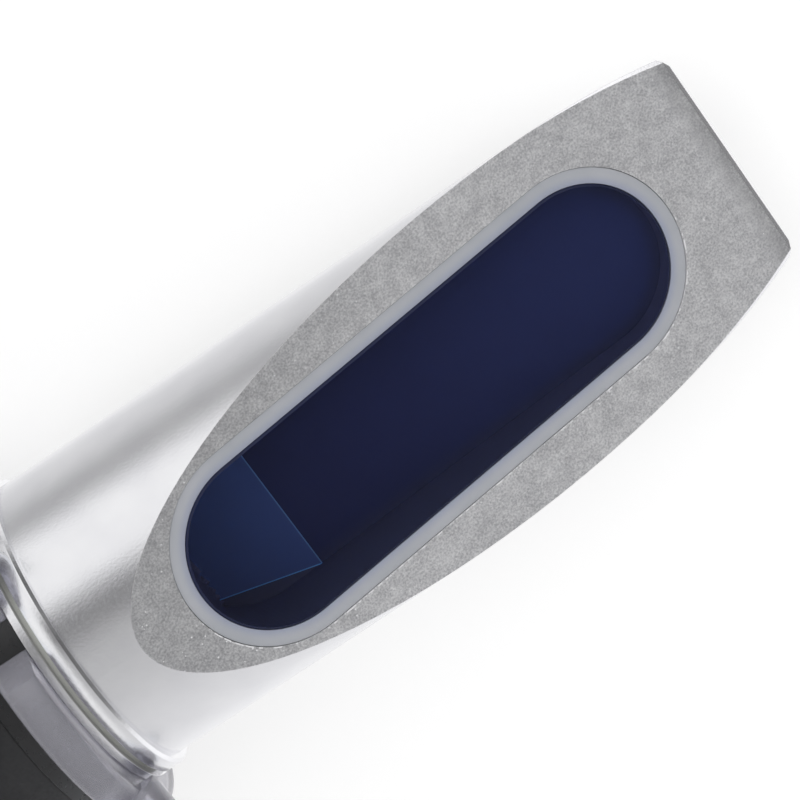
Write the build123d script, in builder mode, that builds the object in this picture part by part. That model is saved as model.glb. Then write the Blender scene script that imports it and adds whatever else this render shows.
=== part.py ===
from build123d import *
from math import cos, pi, radians, sin, sqrt, tan
import os

# Handheld salinity refractometer: a satin metal prism head, a clear daylight plate on a split hinge clip,
# a fluted rubber grip with a calibration screw under a cap, and a focusing eyepiece.
# X runs along the optical axis towards the prism tip, Z is up and the sample face looks up.
# The origin is on the axis, where the head's cylinder meets its shoulder. Lengths are in millimetres.

# Clearances
SEAT_GAP = 0.05
RUNNING_GAP = 0.08
FACE_GAP = 0.1

# Head
BARREL_R = 12.0
TIP_X = 58.7
FACET_START_X = 4.4
FACET_ANGLE = 19.7
EDGE_BREAK = 0.3
SIDE_BREAK = 0.6
SIDE_BREAK_DEPTH = 1.0
SIDE_BREAK_ANGLE = 30.0
TIP_RIM_BREAK = 0.6
SHOULDER_HEIGHT = 0.7
SHOULDER_LENGTH = 1.4
SHOULDER_CHAMFER = 0.25
SPIGOT_LENGTH = 7.8
HEAD_WALL = 4.4

# Prism and its sealant, measured along the facet from where it starts
WINDOW_HALF_WIDTH = 6.72
WINDOW_REAR_CENTRE = 12.5
WINDOW_FRONT_CENTRE = 43.4
EXIT_FACE_X = 6.5
PRISM_FLOOR_WALL = 6.5
PRISM_BEND_X = 14.7
PRISM_NOSE_WALL = 3.7
PRISM_BEVEL = 0.15
BOND_GAP = 0.12
SEALANT_WIDTH = 1.3
SEALANT_DEPTH = 1.5
SEALANT_RECESS = 0.12

# Main tube and the gasket in front of it
TUBE_STEP = 0.4
TUBE_WALL = 1.4
TUBE_LIP_HEIGHT = 1.15
TUBE_LIP_LENGTH = 0.6
TUBE_LENGTH = 72.1
GASKET_THICKNESS = 0.5
GASKET_HEIGHT = 0.2

# Hinge seat and clip
SEAT_THICKNESS = 0.7
SEAT_LENGTH = 3.1
SEAT_SHOULDER_HEIGHT = 0.75
SEAT_SHOULDER_LENGTH = 1.4
CLIP_THICKNESS = 2.35
CLIP_ROUND = 0.5
CLIP_END_INNER_ANGLE = 23.0
CLIP_END_OUTER_ANGLE = 14.5
CLIP_FAR_INNER_ANGLE = 35.0
CLIP_FAR_OUTER_ANGLE = 38.5
PIVOT_DEPTH = 5.7
BOSS_R = 2.6
BOSS_STEP = 1.25
PIN_R = 0.9
PIN_DEPTH = 3.0
PIN_HEAD_R = 1.8
PIN_HEAD_THICKNESS = 0.7
PIN_HEAD_TAPER = 30.0

# Daylight plate
PLATE_OPEN_ANGLE = 114.0
PLATE_THICKNESS = 2.0
PLATE_START = 9.0
PLATE_END = 61.0
PLATE_HALF_WIDTH = 11.5
PLATE_BRIDGE_LENGTH = 4.0
PLATE_TAPER_LENGTH = 5.0
PLATE_ROUND = 0.3
PLATE_LIP_HEIGHT = 1.0
PLATE_LIP_LENGTH = 1.6
PLATE_LIP_WIDTH = 8.0
ARM_GAP = 0.15
ARM_THICKNESS = 1.7
ARM_EYE_R = 3.0
ARM_ROOT_LENGTH = 6.0

# Grip, its thicknesses over the tube
GRIP_THICKNESS = 3.4
GRIP_NOSE_THICKNESS = 1.4
GRIP_NOSE_LENGTH = 2.0
GRIP_SWELL_THICKNESS = 2.2
GRIP_SWELL_LENGTH = 8.5
GRIP_FULL_LENGTH = 12.5
GRIP_TAIL_THICKNESS = 2.0
GRIP_TAIL_LENGTH = 2.4
FLUTE_COUNT = 10
FLUTE_DEPTH = 0.7
FLUTE_R = 6.0

# Calibration screw, at the top of the grip
SCREW_X = -30.0
SCREW_R = 1.45
SCREW_TIP_RECESS = 0.6
SCREW_HEAD_R = 2.4
SCREW_HEAD_DEPTH = 0.78
SCREW_HEAD_HEIGHT = 1.3
SCREW_SLOT_WIDTH = 0.7
SCREW_SLOT_DEPTH = 0.6
SCREW_GROOVE_DEPTH = 0.4
CIRCLIP_R = 2.6
CIRCLIP_THICKNESS = 0.4
BUSH_SEAT_DEPTH = 0.85
BUSH_FLANGE_R = 4.2
BUSH_NECK_R = 2.95
BUSH_STAND = 0.7
BUSH_REACH = 0.7
CAP_PLUG_R = 4.4
CAP_CAVITY_R = 3.3
CAP_ROOF_THICKNESS = 0.8
CAP_FLANGE_R = 5.2
CAP_SEAT_DEPTH = 1.0

# Objective on its bimetal strip
BAFFLE_THICKNESS = 0.8
BAFFLE_HOLE_R = 5.0
CELL_GAP = 0.9
CELL_LENGTH = 7.0
CELL_WALL = 1.2
CELL_LIP_HEIGHT = 0.8
CELL_LIP_LENGTH = 1.0
LENS_SAG = 0.8
LENS_SEAT_GAP = 0.25
CROWN_RIM_THICKNESS = 1.3
FLINT_RIM_THICKNESS = 1.9
SPANNER_SLOT = 0.9
RETAINER_LENGTH = 1.3
RETAINER_WALL = 1.05
STRIP_DROP = 1.9
STRIP_THICKNESS = 0.65
STRIP_WIDTH = 5.5
STRIP_MARGIN = 0.5
PAD_WIDTH = 6.0
PAD_RISE = 0.4
PAD_DEPTH = 1.6
BLOCK_LENGTH = 11.0
BLOCK_WIDTH = 8.0
BLOCK_HEIGHT = 4.6
BLOCK_OVERHANG = 7.5
STRIP_SCREW_MARGIN = 2.8
STRIP_SCREW_R = 0.8
STRIP_SCREW_HEAD_R = 1.4
STRIP_SCREW_HEAD_HEIGHT = 0.8
STRIP_SCREW_LENGTH = 1.35
STRIP_SCREW_SLOT = 0.35

# Focus bush and reticle
BUSH_SPIGOT_LENGTH = 18.0
BUSH_WALL = 1.25
RETICLE_STEP = 0.3
RETICLE_THICKNESS = 1.5
RETICLE_SEAT_DEPTH = 3.0
RETICLE_RETAINER_LENGTH = 1.25
RETICLE_RETAINER_WALL = 1.7
FOCUS_FLANGE_HEIGHT = 1.8
FOCUS_FLANGE_LENGTH = 2.0
SLEEVE_WALL = 2.0
SLEEVE_LENGTH = 9.8
SNAP_GROOVE_MARGIN = 0.55
SNAP_GROOVE_WIDTH = 0.9
SNAP_GROOVE_DEPTH = 0.6
SNAP_RING_HEIGHT = 0.8
SNAP_RING_GAP = 3.0
WASHER_THICKNESS = 0.3
WASHER_MARGIN = 0.2

# Focus ring and nut
FOCUS_RING_WALL = 3.3
FOCUS_RING_BAND_LENGTH = 10.1
FOCUS_RING_TAIL_LENGTH = 3.55
FOCUS_RING_TAIL_WALL = 0.65
KNURL_COUNT = 36
KNURL_R = 0.7
KNURL_DEPTH = 0.4
KNURL_MARGIN = 1.6
NUT_GAP = 0.3
NUT_LENGTH = 3.5
NUT_WALL = 2.85

# Eyepiece
LENS_BARREL_GAP = 3.2
LENS_BARREL_LENGTH = 30.0
LENS_BARREL_WALL = 1.32
LENS_BARREL_LIP_HEIGHT = 0.7
LENS_BARREL_LIP_LENGTH = 1.5
GUIDE_PIN_INSET = 4.0
GUIDE_PIN_R = 1.0
GUIDE_PIN_REACH = 0.9
GUIDE_SLOT_LENGTH = 7.0
EYE_LENS_SAG = 1.9
FIELD_LENS_RIM = 1.2
EYE_LENS_RIM = 2.3
SPACER_WALL = 0.85
EYE_RETAINER_LENGTH = 2.2
EYE_RETAINER_WALL = 1.25
EYE_RETAINER_RECESS = 2.55

# Eyecup
CUP_STEP = 0.3
CUP_WAIST_WALL = 1.0
CUP_RIM_FLARE = 0.9
CUP_RIM_WALL = 1.4
CUP_THROAT_WALL = 2.0
CUP_LENGTH = 21.45
CUP_THROAT_LENGTH = 6.45
CUP_RIM_ROUND = 0.6
CUP_GROOVE_DEPTH = 0.6
CUP_GROOVE_WIDTH = 1.2
CUP_GROOVE_COUNT = 3
CUP_GROOVE_START = 2.0
CUP_GROOVE_PITCH = 3.0

# Radii worked out from the head's cylinder outwards and inwards
shoulder_r = BARREL_R + SHOULDER_HEIGHT
head_bore_r = BARREL_R - HEAD_WALL
gasket_r = BARREL_R + GASKET_HEIGHT
tube_r = BARREL_R - TUBE_STEP
tube_bore_r = tube_r - TUBE_WALL
tube_lip_r = tube_r + TUBE_LIP_HEIGHT
sleeve_seat_r = tube_r + SEAT_GAP
seat_r = sleeve_seat_r + SEAT_THICKNESS
seat_shoulder_r = seat_r + SEAT_SHOULDER_HEIGHT
clip_inner_r = seat_r + SEAT_GAP
clip_r = seat_r + CLIP_THICKNESS
grip_r = tube_r + GRIP_THICKNESS
fitted_r = tube_bore_r - SEAT_GAP
bush_bore_r = fitted_r - BUSH_WALL
reticle_r = bush_bore_r + RETICLE_STEP
flange_r = tube_r + FOCUS_FLANGE_HEIGHT
sleeve_r = bush_bore_r + SLEEVE_WALL
snap_groove_r = sleeve_r - SNAP_GROOVE_DEPTH
focus_ring_r = sleeve_r + FOCUS_RING_WALL
nut_r = bush_bore_r + NUT_WALL - SEAT_GAP
ring_pocket_r = nut_r + SEAT_GAP
ring_tail_r = ring_pocket_r + FOCUS_RING_TAIL_WALL
lens_barrel_r = bush_bore_r - RUNNING_GAP
lens_barrel_bore_r = lens_barrel_r - LENS_BARREL_WALL
pin_tip_r = bush_bore_r - GUIDE_PIN_REACH
eye_lens_r = lens_barrel_bore_r - SEAT_GAP
cup_waist_r = ring_tail_r + CUP_WAIST_WALL
cup_rim_r = cup_waist_r + CUP_RIM_FLARE
cup_throat_r = ring_tail_r - CUP_THROAT_WALL

# Places worked out along the axis
gasket_x = -SHOULDER_LENGTH
tube_x = gasket_x - GASKET_THICKNESS
tube_end_x = tube_x - TUBE_LENGTH
seat_x = tube_x - TUBE_LIP_LENGTH
seat_shoulder_x = seat_x - SEAT_LENGTH
grip_x = seat_shoulder_x - SEAT_SHOULDER_LENGTH
clip_x = seat_x - FACE_GAP
clip_end_x = seat_shoulder_x + FACE_GAP
pivot_x = (clip_x + clip_end_x) / 2
grip_end_x = tube_end_x + FACE_GAP
spigot_end_x = gasket_x - SPIGOT_LENGTH
baffle_x = spigot_end_x - FACE_GAP
cell_x = baffle_x - BAFFLE_THICKNESS - CELL_GAP
cell_end_x = cell_x - CELL_LENGTH
block_rear_x = SCREW_X - BLOCK_OVERHANG
strip_front_x = cell_x - STRIP_MARGIN
strip_rear_x = block_rear_x + STRIP_MARGIN
strip_screw_xs = ((cell_x + cell_end_x) / 2, block_rear_x + STRIP_SCREW_MARGIN)
bush_front_x = tube_end_x + BUSH_SPIGOT_LENGTH
bush_retainer_x = bush_front_x - RETICLE_RETAINER_LENGTH
reticle_x = bush_retainer_x - SEAT_GAP
flange_end_x = tube_end_x - FOCUS_FLANGE_LENGTH
sleeve_end_x = flange_end_x - SLEEVE_LENGTH
snap_groove_end_x = sleeve_end_x + SNAP_GROOVE_MARGIN
snap_groove_x = snap_groove_end_x + SNAP_GROOVE_WIDTH
focus_ring_x = flange_end_x - WASHER_THICKNESS - SEAT_GAP
band_end_x = focus_ring_x - FOCUS_RING_BAND_LENGTH
ring_tail_x = band_end_x - FOCUS_RING_TAIL_LENGTH
nut_x = sleeve_end_x - NUT_GAP
nut_end_x = nut_x - NUT_LENGTH
guide_pin_x = tube_end_x + GUIDE_PIN_INSET
lens_barrel_x = reticle_x - RETICLE_THICKNESS - LENS_BARREL_GAP
lens_barrel_end_x = lens_barrel_x - LENS_BARREL_LENGTH
cup_x = band_end_x - FACE_GAP
cup_throat_x = cup_x - CUP_THROAT_LENGTH
cup_end_x = cup_x - CUP_LENGTH

# Heights worked out for the calibration screw and what it moves
bush_seat_z = tube_r - BUSH_SEAT_DEPTH
bush_top_z = tube_r + BUSH_STAND
bush_end_z = tube_bore_r - BUSH_REACH
screw_head_z = bush_top_z - SCREW_HEAD_DEPTH
circlip_z = bush_end_z - FACE_GAP - CIRCLIP_THICKNESS
strip_z = bush_end_z - STRIP_DROP
block_floor_z = strip_z - BLOCK_HEIGHT
screw_tip_z = block_floor_z + SCREW_TIP_RECESS
cell_r = strip_z - PAD_RISE
cell_bore_r = cell_r - CELL_WALL
lens_r = cell_bore_r - SEAT_GAP
cap_top_z = grip_r - FACE_GAP
cap_seat_z = grip_r - CAP_SEAT_DEPTH
cap_cavity_top_z = cap_seat_z - CAP_ROOF_THICKNESS

# The facet's plane: local X runs down the facet towards the tip, local Y across it
facet_cos = cos(radians(FACET_ANGLE))
facet_sin = sin(radians(FACET_ANGLE))
facet = Plane(
    origin=(FACET_START_X, 0, BARREL_R), x_dir=(facet_cos, 0, -facet_sin), z_dir=(facet_sin, 0, facet_cos)
)
window_straight = WINDOW_FRONT_CENTRE - WINDOW_REAR_CENTRE
window_middle = (WINDOW_FRONT_CENTRE + WINDOW_REAR_CENTRE) / 2
sealant_half_width = WINDOW_HALF_WIDTH + SEALANT_WIDTH

# The daylight plate's frame: u runs along the plate away from the hinge, n towards its outer face.
# pivot_drop is the hinge axis's distance below the facet's plane.
pivot_z = clip_r - PIVOT_DEPTH
pivot_drop = (FACET_START_X - pivot_x) * facet_sin + (BARREL_R - pivot_z) * facet_cos
open_cos = cos(radians(PLATE_OPEN_ANGLE))
open_sin = sin(radians(PLATE_OPEN_ANGLE))
pivot = Vector(pivot_x, 0, pivot_z)
plate_u = Vector(open_cos, 0, open_sin)
plate_n = Vector(-open_sin, 0, open_cos)
plate_inner = pivot_drop + FACE_GAP
plate_outer = plate_inner + PLATE_THICKNESS
boss_reach = clip_r - BOSS_STEP
arm_inner_y = boss_reach + ARM_GAP
arm_outer_y = arm_inner_y + ARM_THICKNESS


def turned(*points):
    """Return the sketch of a profile, given as (x, radius) points, to revolve about the optical axis."""
    with BuildSketch(Plane.XZ) as profile:
        with BuildLine():
            Polyline(*points, close=True)
        make_face()
    return profile.sketch


def ring(front_x, rear_x, inner_r, outer_r):
    """Return the sketch of a plain ring's profile, to revolve about the optical axis."""
    return turned((front_x, inner_r), (front_x, outer_r), (rear_x, outer_r), (rear_x, inner_r))


def polar(radius, angle):
    """Return a point in the Y-Z plane at an angle counted from +Z towards +Y."""
    return radius * sin(radians(angle)), radius * cos(radians(angle))


def past(first, second):
    """Return the point half as far again beyond second, on the line from first."""
    return second * 1.5 - first * 0.5


def stadium(half_width):
    """Return the window's stadium on the facet, with the given half width."""
    with BuildSketch(facet) as outline:
        with Locations((window_middle, 0)):
            SlotCenterToCenter(window_straight, 2 * half_width)
    return outline.sketch


def lens_profile(front_x, front_rim_x, rear_rim_x, rear_x, radius):
    """Return a lens's half profile, from where each surface crosses the axis and where it meets the rim."""
    with BuildSketch(Plane.XZ) as profile:
        with BuildLine():
            for pole_x, rim_x in ((front_x, front_rim_x), (rear_x, rear_rim_x)):
                if pole_x == rim_x:
                    Line((pole_x, 0), (rim_x, radius))
                else:
                    TangentArc((pole_x, 0), (rim_x, radius), tangent=(0, 1))
            Line((front_rim_x, radius), (rear_rim_x, radius))
            Line((front_x, 0), (rear_x, 0))
        make_face()
    return profile.sketch


def prism_solid(grow):
    """Return the wedge prism, or its pocket when grow is above zero."""
    with BuildPart() as wedge:
        extrude(stadium(WINDOW_HALF_WIDTH + grow), amount=-2 * BARREL_R)
        with BuildSketch(Plane.XZ):
            with BuildLine():
                Polyline(
                    (EXIT_FACE_X - grow, BARREL_R),
                    (EXIT_FACE_X - grow, PRISM_FLOOR_WALL - BARREL_R - grow),
                    (PRISM_BEND_X, PRISM_FLOOR_WALL - BARREL_R - grow),
                    (TIP_X, PRISM_NOSE_WALL - BARREL_R - grow),
                    (TIP_X, BARREL_R),
                    close=True,
                )
            make_face()
        extrude(amount=BARREL_R, both=True, mode=Mode.INTERSECT)
    return wedge.part


def save(piece, name):
    """Label a finished piece and write it as its own file."""
    piece.part.label = name
    export_step(piece.part, f"parts/{name}.step")


os.makedirs("parts", exist_ok=True)

# What is filed off the facet's sides: the facet is an ellipse whose middle is where it crosses the axis,
# and a slimmer ellipse, spreading as it goes down, leaves a slanted edge that grows towards the tip
facet_middle = BARREL_R / facet_sin
tip_reach = (TIP_X - FACET_START_X) / facet_cos - facet_middle
break_half_width = BARREL_R + SEAT_GAP
tip_half_width = BARREL_R * sqrt(1 - (tip_reach / facet_middle) ** 2) - SIDE_BREAK
break_half_length = tip_reach / sqrt(1 - (tip_half_width / break_half_width) ** 2)
break_spread = SIDE_BREAK_DEPTH / tan(radians(SIDE_BREAK_ANGLE))
with BuildPart() as side_break:
    with BuildSketch(facet):
        with Locations((facet_middle + tip_reach / 2, 0)):
            Rectangle(tip_reach, 3 * BARREL_R)
    extrude(amount=-SIDE_BREAK_DEPTH)
    for depth, spread in ((0, 0), (SIDE_BREAK_DEPTH, break_spread)):
        with BuildSketch(facet.offset(-depth)):
            with Locations((facet_middle, 0)):
                Ellipse(break_half_length + spread, break_half_width + spread)
    loft(ruled=True, mode=Mode.SUBTRACT)

# Prism head: a solid turned barrel, bored from behind, cut to the facet and pocketed for the prism
with BuildPart() as prism_head:
    revolve(
        turned(
            (spigot_end_x, head_bore_r),
            (spigot_end_x, fitted_r),
            (gasket_x, fitted_r),
            (gasket_x, shoulder_r),
            (-SHOULDER_CHAMFER, shoulder_r),
            (0, shoulder_r - SHOULDER_CHAMFER),
            (0, BARREL_R),
            (TIP_X, BARREL_R),
            (TIP_X, 0),
            (EXIT_FACE_X - BOND_GAP, 0),
            (EXIT_FACE_X - BOND_GAP, head_bore_r),
        ),
        axis=Axis.X,
    )
    split(bisect_by=facet, keep=Keep.BOTTOM)
    chamfer(faces().sort_by(Axis.X)[-1].edges().filter_by(GeomType.CIRCLE), TIP_RIM_BREAK)
    rim_faces = faces().filter_by(lambda face: face.normal_at().dot(facet.z_dir) > 0.999)
    chamfer(rim_faces.edges().sort_by(Axis.X)[-1], EDGE_BREAK)
    add(side_break.part, mode=Mode.SUBTRACT)
    extrude(stadium(sealant_half_width), amount=-SEALANT_DEPTH, mode=Mode.SUBTRACT)
    add(prism_solid(BOND_GAP), mode=Mode.SUBTRACT)
save(prism_head, "prism_head")

# Measuring prism: a glass wedge under the sample face, with a flat exit face towards the tube
with BuildPart() as measuring_prism:
    add(prism_solid(0))
    top_face = faces().filter_by(lambda face: face.normal_at().dot(facet.z_dir) > 0.999)
    chamfer(top_face.edges(), PRISM_BEVEL)
save(measuring_prism, "measuring_prism")

# Prism sealant: a milky cast ring in the channel round the prism
with BuildPart() as prism_sealant:
    extrude(stadium(sealant_half_width - SEAT_GAP), amount=-SEALANT_DEPTH)
    extrude(stadium(WINDOW_HALF_WIDTH + SEAT_GAP), amount=-SEALANT_DEPTH, mode=Mode.SUBTRACT)
    extrude(stadium(sealant_half_width), amount=-SEALANT_RECESS, mode=Mode.SUBTRACT)
save(prism_sealant, "prism_sealant")

# Head gasket: the dark line between the head's shoulder and the tube
with BuildPart() as head_gasket:
    revolve(ring(gasket_x, tube_x, tube_bore_r, gasket_r), axis=Axis.X)
save(head_gasket, "head_gasket")

# Main tube, with a front lip and a spot-faced hole for the calibration bush
with BuildPart() as main_tube:
    revolve(
        turned(
            (tube_x, tube_bore_r),
            (tube_x, tube_lip_r),
            (seat_x, tube_lip_r),
            (seat_x, tube_r),
            (tube_end_x, tube_r),
            (tube_end_x, tube_bore_r),
        ),
        axis=Axis.X,
    )
    with Locations((SCREW_X, 0, tube_r)):
        CounterBoreHole(
            radius=BUSH_NECK_R + SEAT_GAP,
            counter_bore_radius=BUSH_FLANGE_R + SEAT_GAP,
            counter_bore_depth=tube_r - bush_seat_z,
            depth=tube_r - head_bore_r,
        )
save(main_tube, "main_tube")

# Hinge seat: the black ring that the clip springs onto, with a shoulder behind it
with BuildPart() as hinge_seat:
    revolve(
        turned(
            (seat_x, sleeve_seat_r),
            (seat_x, seat_r),
            (seat_shoulder_x, seat_r),
            (seat_shoulder_x, seat_shoulder_r),
            (grip_x, seat_shoulder_r),
            (grip_x, sleeve_seat_r),
        ),
        axis=Axis.X,
    )
save(hinge_seat, "hinge_seat")

# Hinge clip: a clear ring, split between two slanted ends, with a boss on each side for the hinge pins
boss_clear_r = seat_shoulder_r + EDGE_BREAK
split_near_inner = Vector(*polar(clip_inner_r, CLIP_END_INNER_ANGLE))
split_near_outer = Vector(*polar(clip_r, CLIP_END_OUTER_ANGLE))
split_far_inner = Vector(*polar(clip_inner_r, CLIP_FAR_INNER_ANGLE))
split_far_outer = Vector(*polar(clip_r, CLIP_FAR_OUTER_ANGLE))
with BuildPart() as hinge_clip:
    revolve(ring(clip_x, clip_end_x, clip_inner_r, clip_r), axis=Axis.X)
    fillet(edges().filter_by(GeomType.CIRCLE).sort_by(SortBy.RADIUS)[-2:], CLIP_ROUND)
    with BuildSketch(Plane.YZ.offset(clip_end_x)):
        with BuildLine():
            Polyline(
                past(split_near_outer, split_near_inner),
                past(split_near_inner, split_near_outer),
                past(split_far_inner, split_far_outer),
                past(split_far_outer, split_far_inner),
                close=True,
            )
        make_face()
    extrude(amount=clip_x - clip_end_x, mode=Mode.SUBTRACT)
    for side in (1, -1):
        boss_face = Plane(origin=(pivot_x, side * boss_reach, pivot_z), z_dir=(0, side, 0))
        with BuildSketch(boss_face):
            Circle(BOSS_R)
        extrude(amount=-PIN_DEPTH - PIN_R)
        with Locations(boss_face):
            Hole(PIN_R + SEAT_GAP / 2, depth=PIN_DEPTH)
    for front_x, rear_x in ((0, clip_x), (clip_end_x, grip_x - FACE_GAP)):
        revolve(ring(front_x, rear_x, 0, boss_clear_r), axis=Axis.X, mode=Mode.SUBTRACT)
    revolve(ring(clip_x, clip_end_x, 0, clip_inner_r), axis=Axis.X, mode=Mode.SUBTRACT)
save(hinge_clip, "hinge_clip")

# Hinge pins: two round-headed pins, pressed into the clip's bosses through the plate's arms
pin_head_y = arm_outer_y + SEAT_GAP
with BuildPart() as hinge_pins:
    for side in (1, -1):
        head_plane = Plane(origin=(pivot_x, side * pin_head_y, pivot_z), z_dir=(0, side, 0))
        with BuildSketch(head_plane):
            Circle(PIN_R)
        extrude(amount=boss_reach - PIN_DEPTH + FACE_GAP - pin_head_y)
        with BuildSketch(head_plane):
            Circle(PIN_HEAD_R)
        extrude(amount=PIN_HEAD_THICKNESS, taper=PIN_HEAD_TAPER)
save(hinge_pins, "hinge_pins")

# Daylight plate: a clear flap with a rounded end, bridged to two arms that straddle the clip.
# It is modelled swung open, leaning back over the grip's nose.
plate_plane = Plane(origin=pivot + plate_n * plate_inner, x_dir=plate_u, z_dir=plate_n)
plate_lip_plane = plate_plane.offset(PLATE_THICKNESS)
bridge_end = PLATE_START + PLATE_BRIDGE_LENGTH
taper_end = bridge_end + PLATE_TAPER_LENGTH
arc_centre = PLATE_END - PLATE_HALF_WIDTH
with BuildPart() as daylight_plate:
    with BuildSketch(plate_plane) as plate_outline:
        with BuildLine():
            half_edge = Polyline(
                (PLATE_START, 0),
                (PLATE_START, arm_outer_y),
                (bridge_end, arm_outer_y),
                (taper_end, PLATE_HALF_WIDTH),
                (arc_centre, PLATE_HALF_WIDTH),
            )
            ThreePointArc(
                half_edge @ 1,
                (arc_centre + PLATE_HALF_WIDTH * cos(pi / 4), PLATE_HALF_WIDTH * sin(pi / 4)),
                (PLATE_END, 0),
            )
            mirror(about=Plane.XZ)
        make_face()
    extrude(amount=PLATE_THICKNESS)
    plate_faces = faces().sort_by(Axis(origin=pivot, direction=plate_n))
    fillet(plate_faces[0].edges() + plate_faces[-1].edges(), PLATE_ROUND)
    with BuildSketch(plate_lip_plane):
        with Locations((PLATE_END - 1.5 * PLATE_LIP_LENGTH, 0)):
            Rectangle(PLATE_LIP_LENGTH, PLATE_LIP_WIDTH)
    extrude(amount=PLATE_LIP_HEIGHT)
    for side in (1, -1):
        arm_face = Plane(origin=pivot + Vector(0, side * arm_outer_y, 0), x_dir=plate_u, z_dir=(0, side, 0))
        with BuildSketch(arm_face):
            with Locations((0, 0)):
                Circle(ARM_EYE_R)
            with Locations((PLATE_START + ARM_ROOT_LENGTH / 2, -side * (plate_inner + plate_outer) / 2)):
                Rectangle(ARM_ROOT_LENGTH, PLATE_THICKNESS)
            make_hull()
        extrude(amount=-ARM_THICKNESS)
        with Locations(arm_face):
            Hole(PIN_R + RUNNING_GAP, depth=ARM_THICKNESS)
save(daylight_plate, "daylight_plate")

# Rubber grip: a swelling sleeve with long shallow flutes, pierced over the calibration screw
with BuildPart() as rubber_grip:
    revolve(
        turned(
            (grip_x, sleeve_seat_r),
            (grip_x, tube_r + GRIP_NOSE_THICKNESS),
            (grip_x - GRIP_NOSE_LENGTH, tube_r + GRIP_NOSE_THICKNESS),
            (grip_x - GRIP_SWELL_LENGTH, tube_r + GRIP_SWELL_THICKNESS),
            (grip_x - GRIP_FULL_LENGTH, grip_r),
            (grip_end_x + GRIP_TAIL_LENGTH, grip_r),
            (grip_end_x, tube_r + GRIP_TAIL_THICKNESS),
            (grip_end_x, sleeve_seat_r),
        ),
        axis=Axis.X,
    )
    with BuildSketch(Plane.YZ.offset(grip_end_x)):
        with PolarLocations(grip_r - FLUTE_DEPTH + FLUTE_R, FLUTE_COUNT, start_angle=90):
            Circle(FLUTE_R)
    extrude(amount=grip_x - grip_end_x, mode=Mode.SUBTRACT)
    with Locations((SCREW_X, 0, grip_r)):
        CounterBoreHole(
            radius=CAP_PLUG_R + FACE_GAP,
            counter_bore_radius=CAP_FLANGE_R + FACE_GAP,
            counter_bore_depth=grip_r - cap_seat_z,
            depth=grip_r - tube_bore_r,
        )
save(rubber_grip, "rubber_grip")

# Calibration bush: a flanged brass bush in the tube wall, with a counterbore for the screw's head
with BuildPart() as calibration_bush:
    with BuildSketch(Plane((SCREW_X, 0, bush_end_z))):
        Circle(BUSH_NECK_R)
    extrude(amount=bush_top_z - bush_end_z)
    with BuildSketch(Plane((SCREW_X, 0, bush_seat_z))):
        Circle(BUSH_FLANGE_R)
    extrude(amount=bush_top_z - bush_seat_z)
    with Locations((SCREW_X, 0, bush_top_z)):
        CounterBoreHole(
            radius=SCREW_R + RUNNING_GAP,
            counter_bore_radius=SCREW_HEAD_R + FACE_GAP,
            counter_bore_depth=bush_top_z - screw_head_z + SEAT_GAP,
            depth=bush_top_z - bush_end_z,
        )
save(calibration_bush, "calibration_bush")

# Calibration screw: slotted, grooved below the bush for its circlip
screw_groove_r = SCREW_R - SCREW_GROOVE_DEPTH
with BuildPart() as calibration_screw:
    with BuildSketch(Plane((SCREW_X, 0, screw_tip_z))):
        Circle(SCREW_R)
    extrude(amount=screw_head_z - screw_tip_z)
    with BuildSketch(Plane((SCREW_X, 0, screw_head_z))):
        Circle(SCREW_HEAD_R)
    extrude(amount=SCREW_HEAD_HEIGHT)
    chamfer(edges().group_by(Axis.Z)[-1], EDGE_BREAK)
    with BuildSketch(Plane((SCREW_X, 0, screw_head_z + SCREW_HEAD_HEIGHT))):
        Rectangle(4 * SCREW_HEAD_R, SCREW_SLOT_WIDTH)
    extrude(amount=-SCREW_SLOT_DEPTH, mode=Mode.SUBTRACT)
    with BuildSketch(Plane((SCREW_X, 0, circlip_z - SEAT_GAP))):
        Circle(SCREW_R)
        Circle(screw_groove_r, mode=Mode.SUBTRACT)
    extrude(amount=CIRCLIP_THICKNESS + 2 * SEAT_GAP, mode=Mode.SUBTRACT)
save(calibration_screw, "calibration_screw")

# Screw circlip: an open spring ring that keeps the calibration screw in its bush
with BuildPart() as screw_circlip:
    with BuildSketch(Plane((SCREW_X, 0, circlip_z))):
        Circle(CIRCLIP_R)
        Circle(screw_groove_r + SEAT_GAP, mode=Mode.SUBTRACT)
        with Locations((CIRCLIP_R, 0)):
            Rectangle(2 * CIRCLIP_R, SCREW_R, mode=Mode.SUBTRACT)
    extrude(amount=CIRCLIP_THICKNESS)
save(screw_circlip, "screw_circlip")

# Calibration cap: a rubber plug over the screw, with a flange that sits flush in the grip
with BuildPart() as calibration_cap:
    with BuildSketch(Plane((SCREW_X, 0, bush_top_z + SEAT_GAP))):
        Circle(CAP_PLUG_R)
    extrude(amount=cap_top_z - bush_top_z - SEAT_GAP)
    with BuildSketch(Plane((SCREW_X, 0, cap_seat_z + SEAT_GAP))):
        Circle(CAP_FLANGE_R)
    extrude(amount=cap_top_z - cap_seat_z - SEAT_GAP)
    fillet(edges().group_by(Axis.Z)[-1], EDGE_BREAK)
    with BuildSketch(Plane((SCREW_X, 0, bush_top_z))):
        Circle(CAP_CAVITY_R)
    extrude(amount=cap_cavity_top_z - bush_top_z, mode=Mode.SUBTRACT)
save(calibration_cap, "calibration_cap")

# Light baffle: a thin disc with a round stop, behind the head's spigot
with BuildPart() as light_baffle:
    revolve(ring(baffle_x, baffle_x - BAFFLE_THICKNESS, BAFFLE_HOLE_R, fitted_r), axis=Axis.X)
save(light_baffle, "light_baffle")

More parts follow.
